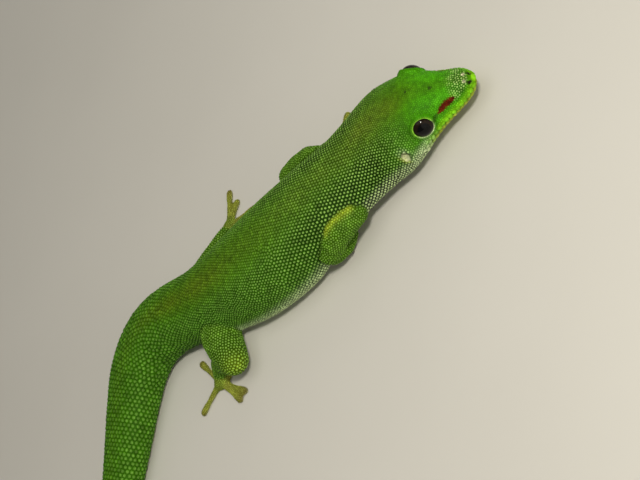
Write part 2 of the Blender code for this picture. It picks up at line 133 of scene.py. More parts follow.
# Eyes: distance from the snout, place across and up, ball, and the way each looks
EYE_ALONG = 16.2
EYE_HEIGHT = 12.0
EYE_RADIUS = 3.6
EYE_OUTER = 10.8
EYE_FORWARD = 22.0
EYE_UPWARD = 16.0

# Round each eye: the bare opening, its raised brim, the furrow, and rings of scales (radius,
# count, spacing), which are looked for from far enough outside
EYE_BARE = 3.8
EYE_BRIM = 3.25
EYE_BRIM_HALF = 0.3
EYE_BRIM_RISE = 0.1
EYE_FURROW = (4.3, 0.35)
EYE_FURROW_DEPTH = 0.16
EYE_RINGS = ((3.0, 40, 0.44), (3.42, 38, 0.52))
EYE_RAY = 6.0

# Mouth: height of its line by distance from the snout, its groove, and the swelling of the lips
MOUTH_HEIGHT = ((0, 6.5), (8, 6.38), (18, 6.24), (25, 6.07))
MOUTH_END = 25.0
MOUTH_FADE = 3.0
MOUTH_DEPTH = 0.4
MOUTH_HALF = 0.34
LIP_SWELL = 0.12
LIP_CREST = 0.8
LIP_HALF = 0.5

# Plates of the lips: their step, spacing, distance from the mouth's line, and where they lie
LIP_STEP = 1.5
LIP_SHARE = 0.9
LIP_OFFSET = 0.72
LIP_FRONT_SHARE = 1.15
LIP_START = 0.6
LIP_END = 23.0
LIP_SAMPLE = 0.1
LIP_FIRST = 0.45
LIP_LAST = 0.3
LIP_RAY = 30.0
LIP_BARE = 1.3
LIP_BARE_SPAN = (-3.0, 22.7)

# Nostrils: distance from the snout, place aside and height, tilt outward and up, hole and rim
NOSTRIL = (1.3, 1.75, 8.9)
NOSTRIL_TILT = (0.55, 0.8)
NOSTRIL_RADIUS = 0.5
NOSTRIL_DEPTH = 0.4
NOSTRIL_WALL = (0.5, 1.2)
NOSTRIL_BRIM = (2.1, 0.8)
NOSTRIL_BRIM_RISE = 0.14
NOSTRIL_THICK = 2.0
NOSTRIL_BARE = 2.6
NOSTRIL_RING = 1.02
NOSTRIL_SCALES = 10
NOSTRIL_SPACING = 0.6

# Ears: distance from the snout, place aside and height, half width and height, slant and cup
EAR = (27.6, 13.4, 10.5)
EAR_HALVES = (0.85, 1.3)
EAR_SLANT = 25.0
EAR_DEPTH = 0.65
EAR_WALL = (0.55, 1.05)
EAR_BRIM = (1.4, 0.35)
EAR_BRIM_RISE = 0.12
EAR_THICK = 3.0
EAR_BARE = 1.1

# Spacing of the scales by distance from the snout, over the back, on the sides and below
TOP_SPACING = (
    (0, 0.75), (6, 0.72), (12, 0.6), (26, 0.62), (35, 0.88), (46, 1.08), (62, 1.03), (85, 0.98),
    (108, 0.94), (118, 1.08), (130, 1.4), (140, 1.54), (165, 1.56), (190, 1.5), (215, 1.38),
    (267, 0.9),
)
SIDE_SPACING = (
    (0, 0.75), (8, 0.66), (20, 0.66), (30, 0.9), (42, 1.03), (58, 1.17), (70, 1.12), (80, 1.0),
    (92, 0.85), (102, 0.84), (116, 0.94), (128, 1.28), (140, 1.52), (165, 1.56), (190, 1.5),
    (215, 1.38), (267, 0.9),
)
UNDER_SPACING = ((0, 0.85), (20, 0.9), (40, 1.1), (60, 1.35), (130, 1.3), (215, 1.05), (267, 0.8))

# Turns from the top where back gives way to sides and sides to underside, spacings of the limbs,
# and the shares of limb and foot over which those take over
TOP_EDGE = (26, 58)
UNDER_EDGE = (104, 128)
ARM_SPACING = 0.8
LEG_SPACING = 0.88
KNEE_SPACING = 1.02
FOOT_SPACING = 0.58
LIMB_SPACING_EDGE = (0.3, 0.9)
FOOT_SPACING_EDGE = (0.3, 0.8)

# Front of the knees: turn round the leg, and bands along it where the larger scales start and end
KNEE_TURN = 110.0
KNEE_TURN_REACH = 70.0
KNEE_START_RIGHT = (5.0, 13.0)
KNEE_START_LEFT = (3.0, 9.0)
KNEE_END = (17.0, 24.0)
KNEE_EDGE = (0.2, 0.9)

# Rows of scales: levels of spacing, distance of rows as a share of it, where they start and end,
# steps along and round the body in degrees, and the farthest skin as a share of the usual
LEVELS = tuple(0.5 * 1.165 ** step for step in range(9))
ROW_SHARE = 0.866
ROW_START = 1.0
LIMB_ROW_START = 2.0
FOOT_ROWS_END = 0.4
ROW_SAMPLE = 1.0
AROUND = (-180, 181)
TURN_STEP = 6
FINE_TURN_STEP = 3
RADIUS_LIMIT = 1.9

# Spreading the scales
SEED_JITTER = 0.12
CLOSEST = 0.62
REFILL = 0.86
RELAX_REFRESH = 3
RELAX_NEIGHBOURS = 8
RELAX_REACH = 1.04
RELAX_GAIN = 0.45

# Rounds of filling and relaxing: a hole's least gap as a share of the spacing, and passes
FULL_ROUNDS = ((0.74, 15), (0.7, 6))

# Outline of a scale: share of the way to its neighbours, how round it is, and how far it reaches
OUTLINE_NEIGHBOURS = 12
OUTLINE_FILL = (0.95, 0.8)
OUTLINE_FILL_BAND = (0.4, 1.4)
OUTLINE_ROUND = 0.35
PLATE_ROUND = 0.1
OUTLINE_SPILL = 1.04
OUTLINE_LIMIT = 0.66
PLATE_LIMIT = 0.95
LEAST_FACING = 0.12

# Kinds of scale: number of sides, then rings as share of the outline and share of the height
FINE = (6, ((1.0, -0.5), (0.8, 0.5), (0.4, 0.92)))
BEAD = (8, ((1.0, -0.4), (0.93, 0.22), (0.7, 0.68), (0.37, 0.93)))
PLATE = (12, ((1.0, -0.8), (0.92, 0.5), (0.7, 0.85), (0.4, 0.97)))
TINY = (6, ((1.0, -0.5), (0.7, 0.65)))
KINDS = (TINY, FINE, BEAD, PLATE)
KIND_TINY, KIND_FINE, KIND_BEAD, KIND_PLATE = range(4)
TOP = (0.0, 1.0)

# Spacing from which a scale is a bead, a plate's height as a share of its radius, the least height
# and how much it varies, and how far scales lean tailward
BEAD_FROM = 0.93
PLATE_HEIGHT = 0.2
HEIGHT_LEAST = 0.9
HEIGHT_VARIES = 0.2
TAILWARD_LEAN = 0.16

# Height of scales by distance from the snout as a share of their radius, lower on top and below
RELIEF = ((0, 0.36), (20, 0.36), (40, 0.58), (60, 0.64), (100, 0.6), (140, 0.44), (267, 0.4))
RELIEF_ON_TOP = 0.45
RELIEF_BELOW = 0.35
RELIEF_UNDER = (120, 138)
LIMB_RELIEF = 0.5

# How strongly the painted highlight on the scales' tops and the painted shade between them show, by distance
# from the snout, and their share on top
BEADS = ((0, 0.15), (18, 0.15), (30, 1.0), (37, 1.5), (62, 1.35), (78, 0.9), (100, 0.82),
         (125, 0.6), (145, 0.5), (267, 0.4))
BEADS_ON_TOP = ((0, 0.6), (36, 0.5), (50, 0.56), (66, 0.5), (84, 0.36), (122, 0.34),
                (138, 0.75), (267, 0.75))
BEADS_TOP_EDGE = (24, 58)
BEADS_BELOW = 0.35
BEADS_UNDER = (128, 146)
PALE_BEADS = 0.2
PALE_BEADS_START = (18, 26)
PALE_BEADS_END = (50, 64)
CALM_BEADS = -0.1
LIMB_BEADS = (0.85, 1.3)
KNEE_BEADS_REACH = 8.0

# Pieces of the coat: name, slot
REGIONS = (
    ("scales_head", "head_skin"), ("scales_neck", "head_skin"), ("scales_chest", "body_skin"),
    ("scales_belly", "body_skin"), ("scales_pelvis", "body_skin"), ("scales_tail_base", "body_skin"),
    ("scales_tail_end", "body_skin"), ("scales_arms", "body_skin"), ("scales_legs", "body_skin"),
    ("scales_feet", "toe_skin"),
)
REGION_ENDS = (20.0, 42.0, 69.0, 96.0, 130.0, 170.0)
REGION_ARMS, REGION_LEGS, REGION_FEET = 7, 8, 9

# Olive of the back by distance from the snout: strength and reach, round a turn left of the top
OLIVE_STRENGTH = ((0, 0), (14, 0.15), (24, 0.75), (34, 0.8), (48, 0.5), (70, 0.4), (92, 0.5),
                  (106, 0.85), (124, 0.75), (140, 0.25), (180, 0.1), (267, 0.2))
OLIVE_REACH = ((0, 20), (22, 34), (36, 44), (60, 42), (100, 34), (140, 24), (267, 40))
OLIVE_TURN = -4.0

# Emerald of the head: middle and reach along it, weaker on the crown, ending down the sides
EMERALD_SPAN = (9.0, 12.0)
CROWN_SHARE = 0.5
CROWN_EDGE = (5.0, 28.0)
SIDE_EDGE = (86, 106)

# Pale jaw and flank: bands where each starts and ends along the body and starts round it
JAW = ((13, 24), (46, 58), (80, 96))
FLANK = ((46, 56), (104, 120), (86, 106))
FLANK_SHARE = 0.8
THROAT_END = (10, 26)
THROAT_TOP = (4.6, 5.5)
THROAT_SHARE = 0.5

# Chin, underside, lips and tip of the snout: bands along the body, round it or in height
CHIN_END = (15, 22)
CHIN_TOP = (6.1, 7.0)
CHIN_SHARE = 0.75
UNDERSIDE_EDGE = (122, 142)
UNDERSIDE_START = (8, 30)
UNDERSIDE_SHARE = 0.9
LIPS_END = (15, 23)
LIPS_LOW = (4.9, 5.6)
LIPS_TOP = (7.5, 8.8)
LIPS_SHARE = 0.66
TIP_END = (1.5, 4.0)
TIP_SHARE = 0.15

# Red stripe before each eye: its line as distance from the snout, place aside and height, its
# middle, reach, half width and soft edge, and how much lower it sits on the left
STRIPE = ((11.7, 6.95, 10.15), (8.8, 5.4, 10.15), (5.5, 4.3, 9.8))
STRIPE_MIDDLE = 8.7
STRIPE_REACH = 3.0
STRIPE_HALF = 0.95
STRIPE_SOFT = 0.6
LEFT_STRIPE_DROP = 1.6
RED_BAND = (0.15, 0.95)
RED_GRAIN = 0.4

# Smudge between stripe and eye, and spots on top of the head: distance, place aside, radius
SMUDGE = ((12.2, 7.3, 10.2), (13.8, 8.5, 10.5))
SMUDGE_EDGE = (0.3, 1.0)
SMUDGE_DARK = 0.6
SPOTS = ((17.1, -0.64, 0.42), (10.96, 0.3, 0.5))
SPOT_EDGE = (0.7, 1.3)
SPOT_LOW = 9.0
SPOT_DARK = 0.8

# Speckled nose: bands where it starts and ends along the snout and starts in height, and its specks
NOSE_START = (0.6, 1.8)
NOSE_END = (3.6, 8.6)
NOSE_LOW = (8.4, 9.4)
SPECK_GRAIN = (0.3, 0.5)
SPECK_NOSE = (0.0, 0.3)
SPECK_THIN = 0.4
SPECK_LIME = 0.3
SPECK_CREAM = 0.22

# Marks of an ear: middle across and halves of its floor, places of the painted shadow under its front rim and
# of its brim, soft edges
EAR_FLOOR = (0.55, 0.7, 1.35)
EAR_MARKS_HEIGHT = 0.2
EAR_SHADOW_ACROSS = -0.12
EAR_BRIM_ACROSS = -0.9
EAR_EDGES = {"floor": (0.75, 1.2), "high": (0.8, 1.2), "rim_shadow": (0.16, 0.38), "brim": (0.2, 0.5),
             "halo": (1.2, 2.6), "behind": (0.6, 1.3)}
EAR_SHARES = {"floor": 0.68, "halo": 0.25, "brim": 0.8, "gold": 0.75}

# Marks of the nostrils, with painted shade in their holes, the eyes' rims (strength above, then below) and
# the mouth, with painted shade in its groove
NOSTRIL_HOLE_SHADE = (0.9, 1.35)
NOSTRIL_PATCH = (1.1, -0.7, 0.4)
NOSTRIL_PATCH_EDGE = (0.4, 0.8)
RIM_EDGE = (3.1, 3.4)
RIM_LOW = (-1.8, 1.4)
RIM_LIME = (0.75, 0.15)
RIM_PALE = (0.3, 0.95)
MOUTH_EDGE = (0.1, 0.28)
MOUTH_SHADE = 0.55

# Limbs: a painted highlight as a yellow line down the right arm, a painted highlight on the right knee, and
# the limbs' own colours
ARM_HIGHLIGHT_LINE = ((10.2, 25.4, 13.4), (10.7, 22.5, 14.5), (11.0, 19.5, 14.9), (12.0, 16.1, 14.8))
ARM_HIGHLIGHT_HALF = 1.4
KNEE = (22.6, -33.6, 8.2)
KNEE_HIGHLIGHT_REACH = 3.8
KNEE_HIGHLIGHT_GOLD = 0.6
KNEE_HIGHLIGHT_LIME = 0.7
LIMB_LIME = 0.12
LIMB_OLIVE = 0.25
LIMB_CREAM = 0.6
LIMB_UNDER = (125, 155)
LIMB_EDGE = (0.2, 0.8)

# Feet: soft edge, strength of the toes' colour from palm to tip, and their pale fringe
FOOT_EDGE = (0.1, 0.7)
TOE_SHARES = (0.45, 0.9)
TOE_START = (1.5, 4.5)
TIP_START = (8.5, 12.5)
TOE_TIP_SHARE = 0.75
FRINGE_TOP = (0.35, 0.9)
FRINGE_START = (3.0, 6.0)
FRINGE_SHARE = 0.45

# Colours of the coat, and the markings that are written on every mesh of it
SKIN_SPECULAR = 0.05
GREEN = (0.048, 0.180, 0.002)
EMERALD = (0.060, 0.320, 0.002)
OLIVE = (0.105, 0.165, 0.002)
LIME = (0.240, 0.620, 0.008)
GOLD = (0.420, 0.560, 0.020)
PALE = (0.740, 0.840, 0.530)
CREAM = (0.700, 0.690, 0.430)
RED = (0.200, 0.018, 0.004)
DARK_RED = (0.045, 0.006, 0.002)
BROWN = (0.090, 0.070, 0.008)
DARK = (0.018, 0.022, 0.006)
TOE = (0.390, 0.400, 0.050)
TOE_TIP = (0.210, 0.150, 0.030)
# A painted highlight on the tops of the scales
BEAD_HIGHLIGHT = (0.370, 0.560, 0.150)
PAINTED = ("olive", "emerald", "lime", "gold", "pale", "cream", "red", "dark", "toe", "toe_tip", "bead")

# Shares of the noises and fields in the skin's colour, with the painted highlight on the scales' tops, and
# gain and start of each in its tone, with the painted shade between the scales
OLIVE_CLOUD = 0.45
PALE_RISE = (0.7, 0.3)
BEAD_HIGHLIGHT_POWER = 2.4
BEAD_HIGHLIGHT_SHARE = 0.5
RED_SPECK = 1.1
TONE = 1.12
GAP_SHADE_TONE = (0.5, 0.2)
GRAIN_TONE = (0.4, 0.8)
CLOUD_TONE = (0.5, 0.75)
MOTTLE_TONE = (1.3, 0.33)

# Sockets of a mix of colours: share, first and second colour
MIX_SOCKETS = (0, 6, 7)

# Noises of the materials: scale and detail
CLOUD = (140.0, 3.0)
SPECK = (1400.0, 2.0)
MOTTLE = (620.0, 4.0)
GRIT = (6500.0, 2.0)
FIBRE = (2600.0, 3.0)
FLOOR_CLOUD = (9.0, 4.0)

# Skin's bump, the roughness of its materials, and how far that varies
BUMP_STRENGTH = 0.25
BUMP_DISTANCE = 0.00008
ROUGHNESS = {"head_skin": 0.42, "body_skin": 0.46, "toe_skin": 0.52}
ROUGHNESS_REACH = 0.1

# Eyes' colours, and the bands of distance from the axis where pupil and iris end
EYE_SPECULAR = 0.16
EYE_ROUGHNESS = (0.03, 0.04)
PUPIL = (0.003, 0.003, 0.003)
IRIS = ((0.006, 0.004, 0.003), (0.020, 0.011, 0.005))
IRIS_OUTER = (0.006, 0.005, 0.004)
PUPIL_EDGE = (1.75, 2.05)
IRIS_EDGE = (2.5, 2.95)
EYE_SEGMENTS = (64, 40)

# Patches of the bake map, its edge, and the gap between limbs on it in millimetres
PATCH = 0.003
MAP_EDGE = 0.01
MAP_GAP = 40.0

# Camera: place and directions, for the photo's angle of view
CAMERA_PLACE = (0.2474, 0.19995, 0.28391)
CAMERA_RIGHT = (0.27950, 0.65895, -0.69833)
CAMERA_UP = (-0.76378, 0.59332, 0.25417)
CAMERA_BACK = (0.58182, 0.46233, 0.66913)
CAMERA_LENS = 81.5
SENSOR = 36.0
NEAREST_SEEN = 0.01

# Floor, and lights: name, shift from the camera (right, up, back) or place, size, power, colour
FLOOR_SIZE = 3.0
FLOOR_ROUGHNESS = (0.1, 0.6)
FLOOR_COLOURS = ((0.62, 0.60, 0.56), (0.70, 0.68, 0.64))
CAMERA_LIGHTS = (
    ("key", (-0.05, 0.11, 0.05), 0.07, 1.38, (1.0, 0.96, 0.84)),
    ("side", (0.22, -0.06, 0.0), 0.6, 0.65, (1.0, 0.96, 0.86)),
)
ROOM_LIGHTS = (
    ("overhead", (0.05, 0.1, 0.9), 0.9, 2.0, (1.0, 0.97, 0.88)),
    ("fill", (-0.6, 0.3, 0.35), 0.5, 0.5, (1.0, 0.97, 0.9)),
)
LIGHT_TARGET = (0.0, 0.0, 0.01)
ROOM_COLOUR = (0.80, 0.78, 0.72, 1.0)
ROOM_STRENGTH = 0.15


def smooth_step(low, high, value):
    share = np.clip((value - low) / (high - low), 0.0, 1.0)
    return share * share * (3 - 2 * share)


def fall(low, high, value):
    """The reverse: one up to the low value, nothing from the high one on."""
    return 1 - smooth_step(low, high, value)


def hill(value, middle, reach):
    return np.exp(-((value - middle) / reach) ** 2)


def curve(table, at):
    return np.interp(at, [row[0] for row in table], [row[1] for row in table])


def blend(low, high, share):
    return low + (high - low) * share


def unit(vectors):
    return vectors / np.maximum(np.linalg.norm(vectors, axis=-1, keepdims=True), TINIEST)


def dot(first, second):
    return np.sum(first * second, axis=-1)


def chord_lengths(points):
    steps = np.linalg.norm(np.diff(points, axis=0), axis=1)
    return np.concatenate(([0.0], np.cumsum(steps)))


def dense_route(points):
    """A smooth route through the points: the distance along it and the place, at each point of it."""
    points = np.asarray(points, float)
    knots = chord_lengths(points)
    slopes = np.gradient(points, knots, axis=0)
    at = np.linspace(0.0, knots[-1], ROUTE_POINTS)
    low = np.clip(np.searchsorted(knots, at, side="right") - 1, 0, len(knots) - 2)
    span = (knots[low + 1] - knots[low])[:, None]
    t = (at - knots[low])[:, None] / span
    route = ((2 * t ** 3 - 3 * t ** 2 + 1) * points[low] + (3 * t ** 2 - 2 * t ** 3) * points[low + 1]
             + (t ** 3 - 2 * t ** 2 + t) * span * slopes[low] + (t ** 3 - t ** 2) * span * slopes[low + 1])
    return chord_lengths(route), route


class Route:
    """A middle line with a frame at each of its points: onward, to the right, and up."""

    def __init__(self, points):
        self.distance, self.place = dense_route(points)
        self.onward = unit(np.gradient(self.place, self.distance, axis=0))
        self.right = unit(np.cross(UPWARD, self.onward))
        self.up = np.cross(self.onward, self.right)
        self.length = self.distance[-1]

    def nearest(self, points, flat=False):
        """Index of the nearest point of the route to each point, in plan or in space."""
        width = 2 if flat else 3
        found = np.empty(len(points), int)
        for start in range(0, len(points), CHUNK):
            part = points[start:start + CHUNK, None, :width]
            gaps = ((part - self.place[None, :, :width]) ** 2).sum(-1)
            found[start:start + CHUNK] = gaps.argmin(1)
        return found

    def coords(self, points, flat=False):
        """Distance along, place to the right and up, and index, of each point."""
        index = self.nearest(points, flat)
        offset = points - self.place[index]
        along = self.distance[index] + dot(offset, self.onward[index])
        return along, dot(offset, self.right[index]), dot(offset, self.up[index]), index

    def at(self, along):
        """Place and frame at distances along the route."""
        rows = [np.stack([np.interp(along, self.distance, field[:, i]) for i in range(3)], -1)
                for field in (self.place, self.onward, self.right, self.up)]
        return rows[0], unit(rows[1]), unit(rows[2]), unit(rows[3])


def body_route():
    """The body's route at the height of its axis. Its right is the animal's right."""
    route = Route([(x, y, 0.0) for x, y in SPINE])
    route.place[:, 2] = curve(AXIS_HEIGHT, route.distance)
    route.up = np.broadcast_to(UPWARD, route.right.shape).copy()
    return route


BODY_ROUTE = body_route()
LIMB_ROUTES = [Route(points) for _, _, points in LIMBS]


def along_of(points):
    return BODY_ROUTE.coords(points, flat=True)[0]


def in_head(along, aside, height):
    place, _, right, _ = BODY_ROUTE.at(np.array([along]))
    spot = place[0] + right[0] * aside
    return np.array([spot[0], spot[1], height])


def eye_axis(side):
    _, tailward, right, _ = BODY_ROUTE.at(np.array([EYE_ALONG]))
    level = math.cos(math.radians(EYE_UPWARD))
    forward = math.radians(EYE_FORWARD)
    plan = (right[0] * side * math.cos(forward) - tailward[0] * math.sin(forward)) * level
    return np.array([plan[0], plan[1], math.sin(math.radians(EYE_UPWARD))])


def eye_centre(side):
    return in_head(EYE_ALONG, side * EYE_OUTER, EYE_HEIGHT) - eye_axis(side) * EYE_RADIUS


EYES = [(eye_centre(side), eye_axis(side)) for _, side in SIDES]


# Reading the solids

def node_arrays(node, grow=0.0):
    """Points in millimetres and faces of a node, its doubled points merged, grown along its normals."""
    bm = bmesh.new()
    bm.from_mesh(node.data)
    bmesh.ops.remove_doubles(bm, verts=bm.verts, dist=MERGE)
    bmesh.ops.recalc_face_normals(bm, faces=bm.faces)
    bm.normal_update()
    points = np.array([v.co / MM + v.normal * grow for v in bm.verts])
    faces = [[v.index for v in face.verts] for face in bm.faces]
    bm.free()
    return points, faces


def joined(nodes, names, grow=0.0):
    """Points and faces of several nodes in one list. The eyes are never grown."""
    points = []
    faces = []
    count = 0
    for name in names:
        own, own_faces = node_arrays(nodes[name], 0.0 if name in EYE_NODES else grow)
        points.append(own)
        faces.extend([[i + count for i in face] for face in own_faces])
        count += len(own)
    return np.concatenate(points).tolist(), faces


def tree_of(nodes, names):
    return BVHTree.FromPolygons(*joined(nodes, names))


def new_object(name, data):
    item = bpy.data.objects.new(name, data)
    bpy.context.scene.collection.objects.link(item)
    return item


def read_array(rows, field, width, kind=np.float32):
    flat = np.empty(len(rows) * width, kind)
    rows.foreach_get(field, flat)
    return flat.reshape(-1, width)


def points_of(mesh):
    return read_array(mesh.vertices, "co", 3).astype(float)


def normals_of(mesh):
    return read_array(mesh.vertex_normals, "vector", 3).astype(float)


def edges_of(mesh):
    return read_array(mesh.edges, "vertices", 2, np.int32)


def put_points(mesh, points):
    mesh.vertices.foreach_set("co", np.asarray(points, np.float32).ravel())
    mesh.update()


def smoothed(points, edges, passes, weight):
    """Points moved towards their neighbours' middle and back, so that the form keeps its size."""
    count = len(points)
    valence = np.maximum(np.bincount(edges.ravel(), minlength=count), 1)[:, None]
    for _ in range(passes):
        for gain in (SMOOTH_OUT, SMOOTH_BACK):
            total = np.stack([np.bincount(edges[:, 0], points[edges[:, 1], i], count)
                              + np.bincount(edges[:, 1], points[edges[:, 0], i], count)
                              for i in range(3)], -1)
            points = points + (total / valence - points) * gain * weight[:, None]
    return points


# Where each point of the skin lies

def distances_to(tree, points):
    return np.array([tree.find_nearest(point)[3] for point in points.tolist()])


def within_box(points, names, margin):
    """Indices of the points in the box round some nodes, widened by a margin."""
    boxes = [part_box(name) for name in names]
    low = np.min([box[0] for box in boxes], axis=0) / MM - margin
    high = np.max([box[1] for box in boxes], axis=0) / MM + margin
    return np.where(((points > low) & (points < high)).all(1))[0]


class Places:
    """Body and limb coordinates of points, worked out once."""

    def __init__(self, points, nodes):
        self.points = points
        self.along, self.aside, _, index = BODY_ROUTE.coords(points, flat=True)
        self.turn = np.degrees(np.arctan2(self.aside, points[:, 2] - curve(AXIS_HEIGHT, self.along)))
        self.lie = BODY_ROUTE.onward[index].copy()
        self.limb = np.full(len(points), -1)
        self.limb_share, self.foot_share = np.zeros((2, len(points)))
        self.limb_along, self.limb_turn = np.zeros((2, len(points)))
        trunk = tree_of(nodes, TRUNK_NODES)
        for number, (names, foot, _) in enumerate(LIMBS):
            self.add_limb(number, nodes, trunk, names, foot)

    def add_limb(self, number, nodes, trunk, names, foot):
        near = within_box(self.points, (*names, foot), LIMB_BLEND)
        own = self.points[near]
        to_leg = distances_to(tree_of(nodes, names), own)
        to_foot = distances_to(tree_of(nodes, (foot,)), own)
        to_limb = np.minimum(to_leg, to_foot)
        to_trunk = distances_to(trunk, own)
        share = np.clip(0.5 + (to_trunk - to_limb) / LIMB_BLEND, 0.0, 1.0)
        foot_share = np.clip(0.5 + (to_leg - to_foot) / LIMB_BLEND, 0.0, 1.0) * share
        better = share > self.limb_share[near]
        chosen = near[better]
        along, right, up, index = LIMB_ROUTES[number].coords(self.points[chosen])
        self.limb[chosen] = number
        self.limb_share[chosen] = share[better]
        self.foot_share[chosen] = foot_share[better]
        self.limb_along[chosen] = along
        self.limb_turn[chosen] = np.degrees(np.arctan2(right, up))
        onward = LIMB_ROUTES[number].onward[index]
        self.lie[chosen] = blend(self.lie[chosen], onward, share[better][:, None])


# The skin

def raw_skin(nodes):
    """One closed surface round all the grown solids."""
    mesh = bpy.data.meshes.new("raw")
    points, faces = joined(nodes, nodes, GROW)
    mesh.from_pydata(points, [], faces)
    mesh.update()
    item = new_object("work", mesh)
    modifier = item.modifiers.new("work", "REMESH")
    modifier.mode = "VOXEL"
    modifier.voxel_size = VOXEL
    bpy.context.view_layer.update()
    made = bpy.data.meshes.new_from_object(item.evaluated_get(bpy.context.evaluated_depsgraph_get()))
    bpy.data.objects.remove(item)
    return made


def split_head(mesh):
    """The head's faces made four times as many, for its finer forms."""
    along = along_of(points_of(mesh))
    bm = bmesh.new()
    bm.from_mesh(mesh)
    edges = [e for e in bm.edges if max(along[e.verts[0].index], along[e.verts[1].index]) < DETAIL_END]
    bmesh.ops.subdivide_edges(bm, edges=edges, cuts=1, use_grid_fill=True)
    bmesh.ops.triangulate(bm, faces=[face for face in bm.faces if len(face.verts) > 4])
    bm.to_mesh(mesh)
    bm.free()
    mesh.update()


def coat_depth(places):
    depth = blend(HEAD_COAT, BODY_COAT, smooth_step(*COAT_BAND, places.along))
    depth = blend(depth, BODY_COAT * LIMB_COAT_SHARE, places.limb_share)
    return blend(depth, TOE_COAT, places.foot_share)


def side_frame(along, side):
    """Directions tailward and outward on one side of the head."""
    _, tailward, right, _ = BODY_ROUTE.at(np.array([along]))
    return tailward[0], right[0] * side


def ear_reach(points, side):
    """How far points are from the middle of an ear, as a share of its half width and height."""
    along, aside, height = EAR
    tailward, outward = side_frame(along, side)
    offset = points - in_head(along, side * aside, height)
    slant = math.radians(EAR_SLANT)
    back = dot(offset, tailward)
    up = offset[:, 2]
    across = back * math.cos(slant) - up * math.sin(slant)
    length = back * math.sin(slant) + up * math.cos(slant)
    out = dot(offset, outward)
    reach = np.sqrt((across / EAR_HALVES[0]) ** 2 + (length / EAR_HALVES[1]) ** 2)
    return np.where(np.abs(out) < EAR_THICK, reach, FAR), across, length


def nostril_axis(side):
    """Place of a nostril, and the way it opens."""
    along, aside, height = NOSTRIL
    outward = side_frame(along, side)[1]
    tilt_out, tilt_up = NOSTRIL_TILT
    return in_head(along, side * aside, height), unit(outward * tilt_out + UPWARD * tilt_up)


def nostril_reach(points, side):
    """Distance of points from a nostril's axis, as a share of its radius."""
    spot, axis = nostril_axis(side)
    offset = points - spot
    deep = dot(offset, axis)
    away = np.linalg.norm(offset - deep[:, None] * axis, axis=1) / NOSTRIL_RADIUS
    return np.where(np.abs(deep) < NOSTRIL_THICK, away, FAR)


def eye_reach(points, eye):
    """Distance from an eye's axis, and how far out along it."""
    centre, axis = eye
    offset = points - centre
    out = dot(offset, axis)
    return np.linalg.norm(offset - out[:, None] * axis, axis=1), out


def head_detail(points, places):
    """How far the head's skin stands out: mouth, lips, nostrils, ears and the rims of the eyes."""
    along = places.along
    fade = fall(MOUTH_END - MOUTH_FADE, MOUTH_END, along)
    gap = points[:, 2] - curve(MOUTH_HEIGHT, along)
    out = -MOUTH_DEPTH * hill(gap, 0.0, MOUTH_HALF) * fade
    out += LIP_SWELL * (hill(gap, LIP_CREST, LIP_HALF) + hill(gap, -LIP_CREST, LIP_HALF)) * fade
    for _, side in SIDES:
        reach = ear_reach(points, side)[0]
        out -= EAR_DEPTH * fall(*EAR_WALL, reach)
        out += EAR_BRIM_RISE * hill(reach, *EAR_BRIM)
        reach = nostril_reach(points, side)
        out -= NOSTRIL_DEPTH * fall(*NOSTRIL_WALL, reach)
        out += NOSTRIL_BRIM_RISE * hill(reach, *NOSTRIL_BRIM)
    for eye in EYES:
        radius, outward = eye_reach(points, eye)
        near = outward > 0
        out += np.where(near, EYE_BRIM_RISE * hill(radius, EYE_BRIM, EYE_BRIM_HALF), 0.0)
        out -= np.where(near, EYE_FURROW_DEPTH * hill(radius, *EYE_FURROW), 0.0)
    head = (along < DETAIL_END) & (places.limb_share < 0.5)
    crease = hill(places.limb_share, 0.5, CREASE_HALF) * (1 - places.foot_share)
    return np.where(head, out, 0.0) - CREASE_DEPTH * crease


def build_skin(nodes):
    """The skin's mesh in millimetres, and where each of its points lies."""
    mesh = raw_skin(nodes)
    points = points_of(mesh)
    edges = edges_of(mesh)
    along = along_of(points)
    foot = np.zeros(len(points))
    for _, name, _ in LIMBS:
        near = within_box(points, (name,), FOOT_MARGIN)
        foot[near] = distances_to(tree_of(nodes, (name,)), points[near]) < 2 * GROW
    head = (along < HEAD_END).astype(float)
    body = 1 - np.maximum(foot, head)
    everywhere = np.ones(len(points))
    points = smoothed(points, edges, HEAD_PASSES, everywhere)
    points = smoothed(points, edges, BODY_PASSES - HEAD_PASSES, body)
    put_points(mesh, points)
    places = Places(points, nodes)
    points = points - normals_of(mesh) * (GROW + coat_depth(places))[:, None]
    put_points(mesh, smoothed(points, edges, FINISH_PASSES, everywhere))
    split_head(mesh)
    points = points_of(mesh)
    points = smoothed(points, edges_of(mesh), FINISH_PASSES, np.ones(len(points)))
    put_points(mesh, points)
    places = Places(points, nodes)
    points = points + normals_of(mesh) * head_detail(points, places)[:, None]
    put_points(mesh, points)
    places.points = points
    return mesh, places


# Markings and the make of the coat, at each point of the skin

def raise_mark(marks, name, value):
    """Bring a marking up to a value where it is weaker."""
    marks[name] = np.maximum(marks[name], value)


def gap_to_line(points, line):
    """Distance of each point from a line through places."""
    best = np.full(len(points), FAR)
    for start, end in zip(line, line[1:]):
        start = np.array(start)
        step = np.array(end) - start
        share = np.clip(dot(points - start, step) / dot(step, step), 0.0, 1.0)
        best = np.minimum(best, np.linalg.norm(points - start - share[:, None] * step, axis=1))
    return best


def knee_hill(places, reach):
    return hill(np.linalg.norm(places.points - np.array(KNEE), axis=1), 0.0, reach)


def trunk_spacing(along, turn):
    turn = np.abs(turn)
    spacing = blend(curve(TOP_SPACING, along), curve(SIDE_SPACING, along), smooth_step(*TOP_EDGE, turn))
    return blend(spacing, curve(UNDER_SPACING, along), smooth_step(*UNDER_EDGE, turn))


